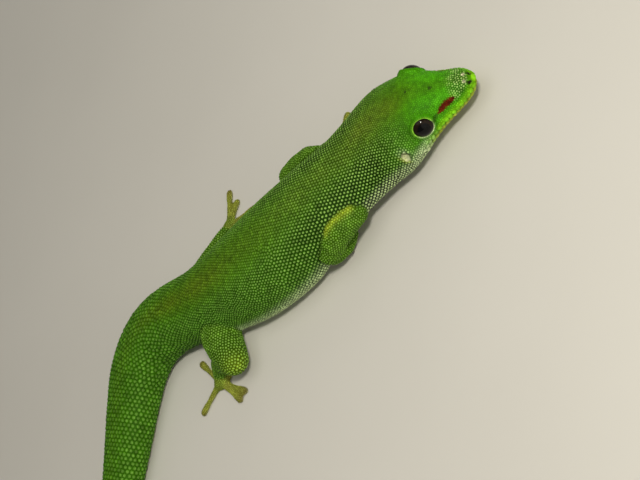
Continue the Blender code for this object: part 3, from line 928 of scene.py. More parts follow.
def knee_front(places):
    """Share of the leg's outer and front faces, which carry larger scales."""
    turn = places.limb_turn
    along = places.limb_along
    right = hill(turn, KNEE_TURN, KNEE_TURN_REACH) * smooth_step(*KNEE_START_RIGHT, along)
    left = hill(turn, -KNEE_TURN, KNEE_TURN_REACH) * smooth_step(*KNEE_START_LEFT, along)
    share = np.where(places.limb == FIRST_LEG, right, left) * fall(*KNEE_END, along)
    return np.where(places.limb >= FIRST_LEG, share, 0.0)


def spacing_field(places):
    limb = np.where(places.limb < FIRST_LEG, ARM_SPACING, LEG_SPACING)
    limb = blend(limb, KNEE_SPACING, smooth_step(*KNEE_EDGE, knee_front(places)))
    limb_share = smooth_step(*LIMB_SPACING_EDGE, places.limb_share)
    spacing = blend(trunk_spacing(places.along, places.turn), limb, limb_share)
    return blend(spacing, FOOT_SPACING, smooth_step(*FOOT_SPACING_EDGE, places.foot_share))


def zone(places, start, end, edge):
    """One within a length of the body and beyond a turn from the top, soft over each band."""
    along = places.along
    return smooth_step(*start, along) * fall(*end, along) * smooth_step(*edge, np.abs(places.turn))


def body_marks(places):
    """Strength of each marking on the trunk, head and tail."""
    along = places.along
    turn = np.abs(places.turn)
    height = places.points[:, 2]
    upper = blend(CROWN_SHARE, 1.0, smooth_step(*CROWN_EDGE, turn)) * fall(*SIDE_EDGE, turn)
    throat = fall(*THROAT_END, along) * fall(*THROAT_TOP, height)
    pale = zone(places, *JAW) + zone(places, *FLANK) * FLANK_SHARE + throat * THROAT_SHARE
    lips = fall(*LIPS_END, along) * smooth_step(*LIPS_LOW, height) * fall(*LIPS_TOP, height)
    olive = hill(places.turn, OLIVE_TURN, curve(OLIVE_REACH, along))
    underside = smooth_step(*UNDERSIDE_EDGE, turn) * smooth_step(*UNDERSIDE_START, along)
    return {
        "olive": curve(OLIVE_STRENGTH, along) * olive,
        "emerald": hill(along, *EMERALD_SPAN) * upper,
        "gold": np.zeros_like(along),
        "calm": np.zeros_like(along),
        "toe": CHIN_SHARE * fall(*CHIN_END, along) * fall(*CHIN_TOP, height),
        "cream": underside * UNDERSIDE_SHARE,
        "pale": np.clip(pale, 0, 1),
        "lime": np.clip(lips * LIPS_SHARE + fall(*TIP_END, along) * TIP_SHARE, 0, 1),
    }


def snout_marks(places, marks):
    """Stripe and smudge before each eye, spots on top of the head, and the speckled nose."""
    along = places.along
    height = places.points[:, 2]
    trunk = places.limb_share < 0.5
    drop = np.where(places.aside < 0, LEFT_STRIPE_DROP, 0.0)
    spot = np.stack([along, np.abs(places.aside), height + drop], -1)
    lens = np.sqrt(np.clip(1 - ((along - STRIPE_MIDDLE) / STRIPE_REACH) ** 2, 0.0, 1.0)) * STRIPE_HALF
    marks["red"] = fall(-STRIPE_SOFT, STRIPE_SOFT, gap_to_line(spot, STRIPE) - lens)
    marks["red"] *= (np.abs(along - STRIPE_MIDDLE) < STRIPE_REACH) & trunk
    marks["dark"] = fall(*SMUDGE_EDGE, gap_to_line(spot, SMUDGE)) * SMUDGE_DARK
    for at, across, radius in SPOTS:
        away = np.hypot(along - at, places.aside - across)
        mark = fall(radius * SPOT_EDGE[0], radius * SPOT_EDGE[1], away) * (height > SPOT_LOW)
        raise_mark(marks, "dark", mark * SPOT_DARK)
    nose = smooth_step(*NOSE_START, along) * fall(*NOSE_END, along)
    marks["nose"] = nose * smooth_step(*NOSE_LOW, height) * trunk


def ear_marks(points, side, marks):
    """An ear's pale floor with a painted shadow under its front rim, its pale brim, and the yellow skin
    behind it.
    """
    reach, across, length = ear_reach(points, side)
    middle, half_across, half_length = EAR_FLOOR
    floor = np.hypot((across - middle) / half_across, length / half_length)
    floor = fall(*EAR_EDGES["floor"], floor)
    high = fall(*EAR_EDGES["high"], np.abs(length - EAR_MARKS_HEIGHT))
    # Painted shadow under the ear's front rim
    rim_shadow = fall(*EAR_EDGES["rim_shadow"], np.abs(across - EAR_SHADOW_ACROSS)) * high
    brim = fall(*EAR_EDGES["brim"], np.abs(across - EAR_BRIM_ACROSS)) * high
    halo = fall(*EAR_EDGES["halo"], reach)
    raise_mark(marks, "calm", floor)
    raise_mark(marks, "cream", floor * EAR_SHARES["floor"])
    raise_mark(marks, "pale", np.maximum(EAR_SHARES["halo"] * halo, EAR_SHARES["brim"] * brim))
    raise_mark(marks, "gold", EAR_SHARES["gold"] * halo * smooth_step(*EAR_EDGES["behind"], across))
    raise_mark(marks, "dark", rim_shadow)


def nostril_marks(points, side, marks):
    """Painted shade in a nostril's hole, and the pale patch behind it."""
    raise_mark(marks, "dark", fall(*NOSTRIL_HOLE_SHADE, nostril_reach(points, side)))
    along, aside, height = np.add(NOSTRIL, NOSTRIL_PATCH)
    away = np.linalg.norm(points - in_head(along, side * aside, height), axis=1)
    raise_mark(marks, "cream", fall(*NOSTRIL_PATCH_EDGE, away))


def rim_marks(points, eye, marks):
    """An eye's rim, yellow green above and pale below."""
    radius, outward = eye_reach(points, eye)
    rim = np.where(outward > 0, fall(*RIM_EDGE, radius), 0.0)
    below = fall(*RIM_LOW, points[:, 2] - eye[0][2])
    raise_mark(marks, "lime", rim * blend(*RIM_LIME, below))
    raise_mark(marks, "pale", rim * blend(*RIM_PALE, below))
    marks["emerald"] = marks["emerald"] * (1 - rim)


def head_marks(places, marks):
    points = places.points
    snout_marks(places, marks)
    for _, side in SIDES:
        ear_marks(points, side, marks)
        nostril_marks(points, side, marks)
    for eye in EYES:
        rim_marks(points, eye, marks)
    # Painted shade in the mouth's groove
    gap = np.abs(points[:, 2] - curve(MOUTH_HEIGHT, places.along))
    mouth_shade = fall(*MOUTH_EDGE, gap) * (places.along < MOUTH_END) * (places.limb_share < 0.5)
    raise_mark(marks, "dark", mouth_shade * MOUTH_SHADE)


def palms_of(limbs):
    return np.array([PALMS[i] for i in np.maximum(limbs, 0)])


def limb_marks(places, marks):
    """Blend the limbs' own colours and the painted highlights of the right arm and knee over the trunk's,
    then add those of the feet.
    """
    turn = places.limb_turn
    own = {name: np.zeros_like(turn) for name in marks}
    # Painted highlights: a yellow line down the right arm, and a bright spot on the right knee
    knee_highlight = knee_hill(places, KNEE_HIGHLIGHT_REACH)
    own["gold"] = np.maximum(hill(gap_to_line(places.points, ARM_HIGHLIGHT_LINE), 0.0, ARM_HIGHLIGHT_HALF), knee_highlight * KNEE_HIGHLIGHT_GOLD)
    own["lime"] = np.maximum(LIMB_LIME, knee_highlight * KNEE_HIGHLIGHT_LIME)
    own["olive"] = np.full_like(turn, LIMB_OLIVE)
    own["cream"] = smooth_step(*LIMB_UNDER, np.abs(turn)) * LIMB_CREAM
    share = smooth_step(*LIMB_EDGE, places.limb_share)
    for name in marks:
        marks[name] = blend(marks[name], own[name], share)
    reach = np.linalg.norm(places.points[:, :2] - palms_of(places.limb), axis=1)
    foot = smooth_step(*FOOT_EDGE, places.foot_share)
    raise_mark(marks, "toe", foot * blend(*TOE_SHARES, smooth_step(*TOE_START, reach)))
    marks["toe_tip"] = foot * smooth_step(*TIP_START, reach) * TOE_TIP_SHARE
    fringe = fall(*FRINGE_TOP, places.points[:, 2])
    raise_mark(marks, "cream", foot * fringe * smooth_step(*FRINGE_START, reach) * FRINGE_SHARE)


def coat_fields(places):
    """Every marking, the spacing and height of the scales, and how strongly the painted highlight on their
    tops and the painted shade between them show.
    """
    along = places.along
    turn = np.abs(places.turn)
    marks = body_marks(places)
    head_marks(places, marks)
    limb_marks(places, marks)
    # Painted shade in the crease where a limb leaves the trunk
    raise_mark(marks, "dark", CREASE_SHADE * hill(places.limb_share, 0.5, CREASE_HALF))
    # Strength of the painted highlight on the scales' tops and the painted shade between them
    top = blend(curve(BEADS_ON_TOP, along), 1.0, smooth_step(*BEADS_TOP_EDGE, turn))
    bead = curve(BEADS, along) * top * blend(1.0, BEADS_BELOW, smooth_step(*BEADS_UNDER, turn))
    start = smooth_step(*PALE_BEADS_START, along)
    bead = bead + PALE_BEADS * marks["pale"] * start * fall(*PALE_BEADS_END, along)
    bead = blend(np.maximum(bead, marks["nose"]), CALM_BEADS, marks["calm"])
    relief = curve(RELIEF, along) * blend(RELIEF_ON_TOP, 1.0, top)
    relief = relief * blend(1.0, RELIEF_BELOW, smooth_step(*RELIEF_UNDER, turn))
    share = smooth_step(*LIMB_EDGE, places.limb_share)
    marks["bead"] = blend(bead, blend(*LIMB_BEADS, knee_hill(places, KNEE_BEADS_REACH)), share)
    marks["relief"] = blend(relief, LIMB_RELIEF, share)
    marks["spacing"] = spacing_field(places)
    return marks


# Spreading the scales over the skin

def radius_table(tree, route, alongs, turns):
    """How far the skin is from a route, at each distance and turn."""
    place, _, right, up = route.at(alongs)
    table = np.zeros((len(alongs), len(turns)))
    for i in range(len(alongs)):
        for j, turn in enumerate(turns):
            way = right[i] * math.sin(turn) + up[i] * math.cos(turn)
            hit = tree.ray_cast(Vector(place[i]), Vector(way))
            table[i, j] = hit[3] if hit[0] is not None else np.nan
    level = np.nanmedian(table, axis=1)[:, None]
    return np.where(np.isnan(table), level, np.minimum(table, RADIUS_LIMIT * level))


def rows_round(tree, route, spacing_at, start, end):
    """Staggered rows of places round a route, at each level of spacing where that level fits."""
    alongs = np.arange(start, end, ROW_SAMPLE)
    turns = np.radians(np.arange(*AROUND, TURN_STEP))
    table = radius_table(tree, route, alongs, turns)
    fine = np.radians(np.arange(*AROUND, FINE_TURN_STEP))
    half_step = 0.5 * math.log(LEVELS[1] / LEVELS[0])
    found = []
    for level in LEVELS:
        for row, along in enumerate(np.arange(start, end, level * ROW_SHARE)):
            column = [np.interp(along, alongs, table[:, j]) for j in range(len(turns))]
            radius = np.interp(fine, turns, column)
            line = np.stack([radius * np.sin(fine), radius * np.cos(fine)], -1)
            arc = chord_lengths(line)
            arc -= np.interp(0.0, fine, arc)
            steps = np.arange(math.ceil(arc[0] / level), arc[-1] / level) + 0.5 * (row % 2)
            at = np.interp(steps * level, arc, fine)
            wanted = spacing_at(np.full(len(at), along), np.degrees(at))
            at = at[np.abs(np.log(wanted / level)) < half_step]
            place, _, right, up = route.at(np.full(len(at), along))
            reach = np.interp(at, fine, radius)[:, None]
            found.append(place + reach * (right * np.sin(at)[:, None] + up * np.cos(at)[:, None]))
    return np.concatenate(found)


def kd_tree(points):
    tree = KDTree(len(points))
    for i, point in enumerate(points.tolist()):
        tree.insert(point, i)
    tree.balance()
    return tree


def neighbours_of(spots, count):
    """Numbers of each spot's nearest other spots."""
    tree = kd_tree(spots)
    return np.array([[j for _, j, _ in tree.find_n(spot, count + 1)][1:] for spot in spots.tolist()])


class Coat:
    """The skin that the scales are laid on: its faces and fields, and the sites open to scales."""

    def __init__(self, mesh, places, fields):
        self.points = places.points
        self.normals = normals_of(mesh)
        self.faces = np.array([list(face.vertices) + [face.vertices[0]] * (4 - len(face.vertices))
                               for face in mesh.polygons])
        self.tree = BVHTree.FromPolygons(self.points.tolist(), [list(f.vertices) for f in mesh.polygons])
        self.places = places
        self.fields = fields
        self.sites = np.concatenate([self.points, self.points[self.faces].mean(1)])
        along = np.concatenate([places.along, places.along[self.faces].mean(1)])
        spacing = fields["spacing"]
        self.site_spacing = np.concatenate([spacing, spacing[self.faces].mean(1)])
        self.open_site = ~bare(self.sites, along)

    def onto_skin(self, spots):
        """Each spot moved to the nearest place on the skin, with the face it lies on."""
        moved = np.empty_like(spots)
        face = np.empty(len(spots), int)
        for i, spot in enumerate(spots.tolist()):
            place, _, index, _ = self.tree.find_nearest(spot)
            moved[i] = place
            face[i] = index
        return moved, face

    def read(self, field, spots, face):
        """A field of the skin's points, read at spots on its faces."""
        corners = self.faces[face]
        gaps = np.linalg.norm(self.points[corners] - spots[:, None], axis=2)
        weight = 1 / (gaps + READ_GAP) ** 2
        weight /= weight.sum(1, keepdims=True)
        values = field[corners]
        if values.ndim == 3:
            weight = weight[:, :, None]
        return (values * weight).sum(1)

    def settled(self, spots, fixed_spacing):
        """Spots moved onto the skin, with their faces and spacings. Fixed ones keep their own."""
        spots, face = self.onto_skin(spots)
        spacing = self.read(self.fields["spacing"], spots, face)
        spacing[:len(fixed_spacing)] = fixed_spacing
        return spots, face, spacing


def circle(middle, axis, radius, count, shift=0.0):
    """Places evenly round an axis, turned by a share of their step."""
    level = unit(np.cross(axis, UPWARD))
    rise = np.cross(level, axis)
    turns = 2 * math.pi * (np.arange(count) + shift) / count
    return [middle + (level * math.cos(turn) + rise * math.sin(turn)) * radius for turn in turns]


def ring_seeds(coat):
    """Fixed rings of scales: the rims of the eyes, and round the nostrils."""
    spots = []
    spacing = []
    for centre, axis in EYES:
        for radius, count, size in EYE_RINGS:
            for place in circle(centre, axis, radius, count, 0.5 * (radius > EYE_BRIM)):
                hit = coat.tree.ray_cast(Vector(place + axis * EYE_RAY), Vector(-axis), EYE_RAY)
                if hit[0] is not None:
                    spots.append(np.array(hit[0]))
                    spacing.append(size)
    for _, side in SIDES:
        spots += circle(*nostril_axis(side), NOSTRIL_RING, NOSTRIL_SCALES)
        spacing += [NOSTRIL_SPACING] * NOSTRIL_SCALES
    return spots, spacing


def lip_line(coat, offset):
    """Places along the right side of a lip, from the snout to the angle of the jaw."""
    line = []
    for along in np.arange(LIP_START, LIP_END, LIP_SAMPLE):
        start, _, right, _ = BODY_ROUTE.at(np.array([along]))
        start[0, 2] = curve(MOUTH_HEIGHT, along) + offset
        hit = coat.tree.ray_cast(Vector(start[0]), Vector(right[0]), LIP_RAY)
        if hit[0] is not None:
            line.append(np.array(hit[0]))
    return np.array(line)


def lip_seeds(coat):
    """Plates of the upper and lower lip, mirrored from right to left, and one in front."""
    spots = []
    spacing = []
    for offset in (LIP_OFFSET, -LIP_OFFSET):
        line = lip_line(coat, offset)
        arc = chord_lengths(line)
        for step in np.arange(LIP_FIRST, arc[-1] - LIP_LAST, LIP_STEP):
            spot = np.array([np.interp(step, arc, line[:, i]) for i in range(3)])
            along, aside, _, _ = BODY_ROUTE.coords(spot[None], flat=True)
            for _, side in SIDES:
                spots.append(in_head(along[0], side * aside[0], spot[2]))
                spacing.append(LIP_STEP * LIP_SHARE)
        spots.append(in_head(0.0, 0.0, float(curve(MOUTH_HEIGHT, 0.0)) + offset * LIP_FRONT_SHARE))
        spacing.append(LIP_STEP)
    return spots, spacing


def keep_apart(spots, spacing, fixed):
    """Which spots stay, once those too close to earlier ones are dropped."""
    tree = kd_tree(spots)
    keep = np.ones(len(spots), bool)
    for i, spot in enumerate(spots.tolist()):
        if not keep[i]:
            continue
        for _, j, gap in tree.find_range(spot, CLOSEST * 2 * spacing[i]):
            if j > i and j >= fixed and gap < CLOSEST * 0.5 * (spacing[i] + spacing[j]):
                keep[j] = False
    return keep


def fill_holes(coat, spots, spacing, random, hole):
    """Spots at places of the skin that are too far from every other spot."""
    tree = kd_tree(spots)
    found = [tree.find(place)[1:] for place in coat.sites.tolist()]
    nearest = np.array([row[0] for row in found])
    gaps = np.array([row[1] for row in found])
    wanted = 0.5 * (coat.site_spacing + spacing[nearest])
    free = np.where(coat.open_site & (gaps > hole * wanted))[0]
    if not len(free):
        return np.zeros((0, 3))
    free = free[random.permutation(len(free))]
    places = coat.sites[free]
    free_tree = kd_tree(places)
    alive = np.ones(len(free), bool)
    chosen = []
    for i, place in enumerate(places.tolist()):
        if alive[i]:
            chosen.append(i)
            for _, j, _ in free_tree.find_range(place, REFILL * coat.site_spacing[free[i]]):
                alive[j] = False
    return places[chosen]


def bare(points, along):
    """Whether points lie where no free scales grow: eyes' openings, ears, nostrils and lips."""
    hidden = np.zeros(len(points), bool)
    for eye in EYES:
        radius, out = eye_reach(points, eye)
        hidden |= (radius < EYE_BARE) & (out > 0)
    for _, side in SIDES:
        hidden |= ear_reach(points, side)[0] < EAR_BARE
        hidden |= nostril_reach(points, side) < NOSTRIL_BARE
    gap = np.abs(points[:, 2] - curve(MOUTH_HEIGHT, along))
    start, end = LIP_BARE_SPAN
    return hidden | (gap < LIP_BARE) & (along < end) & (along > start)


def relax(coat, spots, spacing, fixed, passes):
    """Push neighbours apart until the scales are evenly packed. The first ones stay in place."""
    for step in range(passes):
        if step % RELAX_REFRESH == 0:
            neighbours = neighbours_of(spots, RELAX_NEIGHBOURS)
        offset = spots[:, None] - spots[neighbours]
        gap = np.maximum(np.linalg.norm(offset, axis=2), LEAST_GAP)
        wanted = 0.5 * RELAX_REACH * (spacing[:, None] + spacing[neighbours])
        push = np.clip(wanted - gap, 0.0, None) * RELAX_GAIN
        move = (offset / gap[:, :, None] * push[:, :, None]).sum(1)
        moved = coat.onto_skin(spots + move)[0]
        spots = np.concatenate([spots[:fixed], moved[fixed:]])
    return spots


def trunk_rows(coat):
    """Rows of scales round the trunk, head and tail."""
    found = rows_round(coat.tree, BODY_ROUTE, trunk_spacing, ROW_START, BODY_ROUTE.length - ROW_START)
    found, face = coat.onto_skin(found)
    return found[coat.read(coat.places.limb_share, found, face) < 0.5]


def limb_rows(coat, number):
    """Rows of scales round one limb, down to its wrist or ankle."""
    level = ARM_SPACING if number < FIRST_LEG else LEG_SPACING
    route = LIMB_ROUTES[number]
    found = rows_round(coat.tree, route, lambda along, turn: np.full(len(along), level),
                       LIMB_ROW_START, route.length)
    found, face = coat.onto_skin(found)
    own = coat.read(coat.places.limb_share, found, face) > 0.5
    own &= coat.read(coat.places.foot_share, found, face) < FOOT_ROWS_END
    return found[own]


def spread(coat):
    """Places of all the scales, their faces and spacings, and which of them are plates."""
    random = np.random.default_rng(SEED)
    ring_spots, ring_spacing = ring_seeds(coat)
    lip_spots, lip_spacing = lip_seeds(coat)
    fixed_spots = coat.onto_skin(np.array(ring_spots + lip_spots))[0]
    fixed_spacing = np.array(ring_spacing + lip_spacing)
    fixed = len(fixed_spots)
    rows = np.concatenate([trunk_rows(coat), *(limb_rows(coat, i) for i in range(len(LIMBS)))])
    rows = rows[~bare(rows, along_of(rows))]
    rows = rows + random.normal(0.0, SEED_JITTER, rows.shape)
    spots, face, spacing = coat.settled(np.concatenate([fixed_spots, rows]), fixed_spacing)
    keep = keep_apart(spots, spacing, fixed)
    spots = spots[keep]
    spacing = spacing[keep]
    for hole, passes in FULL_ROUNDS:
        extra = fill_holes(coat, spots, spacing, random, hole)
        spots, face, spacing = coat.settled(np.concatenate([spots, extra]), fixed_spacing)
        spots = relax(coat, spots, spacing, fixed, passes)
        spots, face, spacing = coat.settled(spots, fixed_spacing)
    keep = ~bare(spots, along_of(spots))
    keep[:fixed] = True
    is_plate = np.zeros(len(spots), bool)
    is_plate[len(ring_spots):fixed] = True
    return spots[keep], face[keep], spacing[keep], is_plate[keep]


# The shapes of the scales

class Scales:
    """Frame, outline, height and fields of every scale."""

    def __init__(self, coat):
        self.spots, face, self.spacing, self.is_plate = spread(coat)

        def read(values):
            return coat.read(values, self.spots, face)

        places = coat.places
        self.normal = unit(read(coat.normals))
        lie = read(places.lie)
        self.back = unit(lie - dot(lie, self.normal)[:, None] * self.normal)
        self.side = np.cross(self.normal, self.back)
        self.fields = {name: read(values) for name, values in coat.fields.items()}
        self.along = along_of(self.spots)
        self.turn = read(places.turn)
        self.limb_share = read(places.limb_share)
        self.foot_share = read(places.foot_share)
        corner = coat.faces[face][:, 0]
        self.limb = places.limb[corner]
        self.limb_along = places.limb_along[corner]
        self.limb_turn = places.limb_turn[corner]
        self.kind = np.where(self.spacing > BEAD_FROM, KIND_BEAD, KIND_FINE)
        self.kind = np.where(self.foot_share > 0.5, KIND_TINY, self.kind)
        self.kind = np.where(self.is_plate, KIND_PLATE, self.kind)
        random = np.random.default_rng(SEED + 1)
        self.grain = random.random(len(self.spots))
        self.height_share = HEIGHT_LEAST + HEIGHT_VARIES * random.random(len(self.spots))
        self.speckle()
        self.near = neighbours_of(self.spots, OUTLINE_NEIGHBOURS)

    def speckle(self):
        """Vary the nose and the stripe from scale to scale."""
        nose = self.fields["nose"]
        specks = smooth_step(*SPECK_GRAIN, self.grain)
        specks = specks * smooth_step(*SPECK_NOSE, nose - SPECK_THIN * self.grain)
        raise_mark(self.fields, "lime", specks * SPECK_LIME)
        raise_mark(self.fields, "cream", specks * SPECK_CREAM * nose)
        red = self.fields["red"] + RED_GRAIN * (self.grain - 0.5)
        self.fields["red"] = smooth_step(*RED_BAND, red)

    def outlines(self, which, sides):
        """Radius of each chosen scale at each of its sides, short of halfway to its neighbours."""
        near = self.near[which]
        spacing = self.spacing[which]
        plate = self.is_plate[which]
        offset = self.spots[near] - self.spots[which][:, None]
        across = dot(offset, self.side[which][:, None])
        back = dot(offset, self.back[which][:, None])
        gap = np.maximum(np.hypot(across, back), LEAST_GAP)
        way = np.arctan2(across, back)
        share = spacing[:, None] / (spacing[:, None] + self.spacing[near])
        turns = 2 * np.pi * np.arange(sides) / sides
        facing = np.cos(turns[None, :, None] - way[:, None, :])
        reach = (gap * share)[:, None, :] / np.maximum(facing, LEAST_FACING)
        reach = np.where(facing > LEAST_FACING, reach, FAR)
        limit = np.where(plate, PLATE_LIMIT, OUTLINE_LIMIT) * spacing
        radius = np.minimum(reach.min(2), limit[:, None])
        mean = radius.mean(1, keepdims=True)
        round_share = np.where(plate, PLATE_ROUND, OUTLINE_ROUND)[:, None]
        fill = blend(*OUTLINE_FILL, smooth_step(*OUTLINE_FILL_BAND, self.fields["bead"][which]))[:, None]
        radius = np.minimum(radius, blend(radius, mean, round_share) * OUTLINE_SPILL) * fill
        return radius, turns


def dome_faces(sides, rings):
    """Faces of one dome: bands between its rings, then its cap."""
    faces = []
    for ring in range(rings - 1):
        for i in range(sides):
            j = (i + 1) % sides
            low = ring * sides
            high = low + sides
            faces.append((low + i, low + j, high + j))
            faces.append((low + i, high + j, high + i))
    top = (rings - 1) * sides
    for i in range(sides):
        faces.append((top + i, top + (i + 1) % sides, rings * sides))
    return np.array(faces)


def dome_points(scales, which, kind):
    """Points of the chosen scales, and for each point how high it is and where on the outline."""
    sides, rings = KINDS[kind]
    radius, turns = scales.outlines(which, sides)
    mean = radius.mean(1)
    height = scales.fields["relief"][which] * mean * scales.height_share[which]
    height = np.where(scales.is_plate[which], PLATE_HEIGHT * mean, height)
    centre, back, side, up = (values[which][:, None] for values in
                              (scales.spots, scales.back, scales.side, scales.normal))
    points = []
    rise = []
    disc = []
    for share, level in (*rings, TOP):
        count = sides if share else 1
        cos = np.cos(turns[:count])
        sin = np.sin(turns[:count])
        lean = TAILWARD_LEAN * max(level, 0.0) * mean[:, None, None]
        out = (radius[:, :count] * share)[:, :, None]
        points.append(centre + out * (back * cos[None, :, None] + side * sin[None, :, None])
                      + back * lean + up * (height * level)[:, None, None])
        rise.append(np.full((len(which), count), max(level, 0.0)))
        disc.append(np.stack([share * cos, share * sin], -1)[None].repeat(len(which), 0))
    points = np.concatenate(points, 1)
    points[:, :, 2] = np.maximum(points[:, :, 2], 0.0)
    return points, np.concatenate(rise, 1), np.concatenate(disc, 1)


def region_of(scales):
    region = np.searchsorted(REGION_ENDS, scales.along)
    limb = scales.limb_share > 0.5
    region = np.where(limb & (scales.limb < FIRST_LEG), REGION_ARMS, region)
    region = np.where(limb & (scales.limb >= FIRST_LEG), REGION_LEGS, region)
    return np.where(scales.foot_share > 0.5, REGION_FEET, region)


def root_places(scales, which, region):
    """Where each scale's root lies on an unwrap of the skin, from 0 to 1 both ways."""
    number = scales.limb[which]
    spot = scales.spots[which]
    if region < REGION_ARMS:
        across = scales.along[which]
        up = scales.turn[which]
    elif region < REGION_FEET:
        across = scales.limb_along[which] + MAP_GAP * number
        up = scales.limb_turn[which]
    else:
        palms = palms_of(number)
        across = spot[:, 0] - palms[:, 0] + MAP_GAP * number
        up = spot[:, 1] - palms[:, 1] + np.where(scales.normal[which][:, 2] > 0, 0.0, MAP_GAP)
    place = np.stack([across, up], -1)
    low = place.min(0)
    edge = MAP_EDGE + PATCH
    return edge + (place - low) / (place.max(0) - low) * (1 - 2 * edge)


def set_float(mesh, name, values):
    layer = mesh.attributes.new(name, "FLOAT", "POINT")
    layer.data.foreach_set("value", np.asarray(values, np.float32).ravel())


def shade_smooth(mesh):
    mesh.polygons.foreach_set("use_smooth", np.ones(len(mesh.polygons), bool))


def fast_mesh(name, points, triangles):
    mesh = bpy.data.meshes.new(name)
    mesh.vertices.add(len(points))
    mesh.vertices.foreach_set("co", (points * MM).astype(np.float32).ravel())
    mesh.loops.add(triangles.size)
    mesh.loops.foreach_set("vertex_index", triangles.astype(np.int32).ravel())
    mesh.polygons.add(len(triangles))
    mesh.polygons.foreach_set("loop_start", np.arange(0, triangles.size, 3, dtype=np.int32))
    shade_smooth(mesh)
    mesh.update(calc_edges=True)
    return mesh


def build_region(scales, region, chosen):
    """The joined mesh of one region's scales, with its fields and its bake map."""
    points = []
    triangles = []
    rise = []
    place_on_map = []
    owner = []
    count = 0
    roots = root_places(scales, chosen, region)
    for kind in range(len(KINDS)):
        own = np.where(scales.kind[chosen] == kind)[0]
        if not len(own):
            continue
        which = chosen[own]
        made, level, disc = dome_points(scales, which, kind)
        sides, rings = KINDS[kind]
        faces = dome_faces(sides, len(rings))
        per_scale = made.shape[1]
        starts = count + per_scale * np.arange(len(which))
        triangles.append((faces[None] + starts[:, None, None]).reshape(-1, 3))
        points.append(made.reshape(-1, 3))
        rise.append(level.ravel())
        place_on_map.append((roots[own][:, None] + disc * PATCH / 2).reshape(-1, 2))
        owner.append(np.repeat(which, per_scale))
        count += per_scale * len(which)
    points = np.concatenate(points)
    triangles = np.concatenate(triangles)
    owner = np.concatenate(owner)
    name, slot = REGIONS[region]
    mesh = fast_mesh(name, points, triangles)
    set_float(mesh, "rise", np.concatenate(rise))
    set_float(mesh, "grain", scales.grain[owner])
    for field in PAINTED:
        set_float(mesh, field, scales.fields[field][owner])
    corners = np.concatenate(place_on_map)[triangles.ravel()]
    mesh.uv_layers.new(name="OFBake").data.foreach_set("uv", corners.astype(np.float32).ravel())
    return name, slot, mesh


# Materials

class Nodes:
    """A short way to write a material's nodes."""

    def __init__(self, name):
        self.material = bpy.data.materials.new(name)
        self.material.use_nodes = True
        self.tree = self.material.node_tree
        self.shader = self.tree.nodes["Principled BSDF"]

    def add(self, kind, inputs=(), **settings):
        made = self.tree.nodes.new(kind)
        for key, value in settings.items():
            setattr(made, key, value)
        for key, value in dict(inputs).items():
            self.give(made.inputs[key], value)
        return made

    def give(self, socket, value):
        if isinstance(value, bpy.types.NodeSocket):
            self.tree.links.new(value, socket)
        elif isinstance(value, tuple) and len(value) == 3 and socket.type == "RGBA":
            socket.default_value = (*value, 1.0)
        else:
            socket.default_value = value

    def field(self, name):
        return self.add("ShaderNodeAttribute", attribute_name=name).outputs["Fac"]

    def math(self, operation, first, second=0.0, third=0.0):
        made = self.add("ShaderNodeMath", operation=operation)
        for socket, value in zip(made.inputs, (first, second, third)):
            self.give(socket, value)
        return made.outputs[0]

    def times(self, first, second):
        return self.math("MULTIPLY", first, second)

    def line(self, value, gain, start):
        """A straight line: the value times a gain, from a start."""
        return self.math("MULTIPLY_ADD", value, gain, start)

    def band(self, low, high, value):
        """From nothing at the low value to one at the high one."""
        return self.add("ShaderNodeMapRange", {"Value": value, "From Min": low, "From Max": high}).outputs[0]

    def mix(self, share, first, second):
        made = self.add("ShaderNodeMix", data_type="RGBA")
        for socket, value in zip(MIX_SOCKETS, (share, first, second)):
            self.give(made.inputs[socket], value)
        return made.outputs[2]

    def noise(self, scale, detail):
        where = self.add("ShaderNodeTexCoord").outputs["Object"]
        inputs = {"Vector": where, "Scale": scale, "Detail": detail}
        return self.add("ShaderNodeTexNoise", inputs).outputs["Fac"]

    def scaled(self, colour, amount):
        """A colour times a number."""
        made = self.add("ShaderNodeVectorMath", operation="SCALE")
        self.give(made.inputs[0], colour)
        self.give(made.inputs["Scale"], amount)
        return made.outputs[0]

    def finish(self, colour, roughness):
        self.give(self.shader.inputs["Base Color"], colour)
        self.give(self.shader.inputs["Roughness"], roughness)
        return self.material


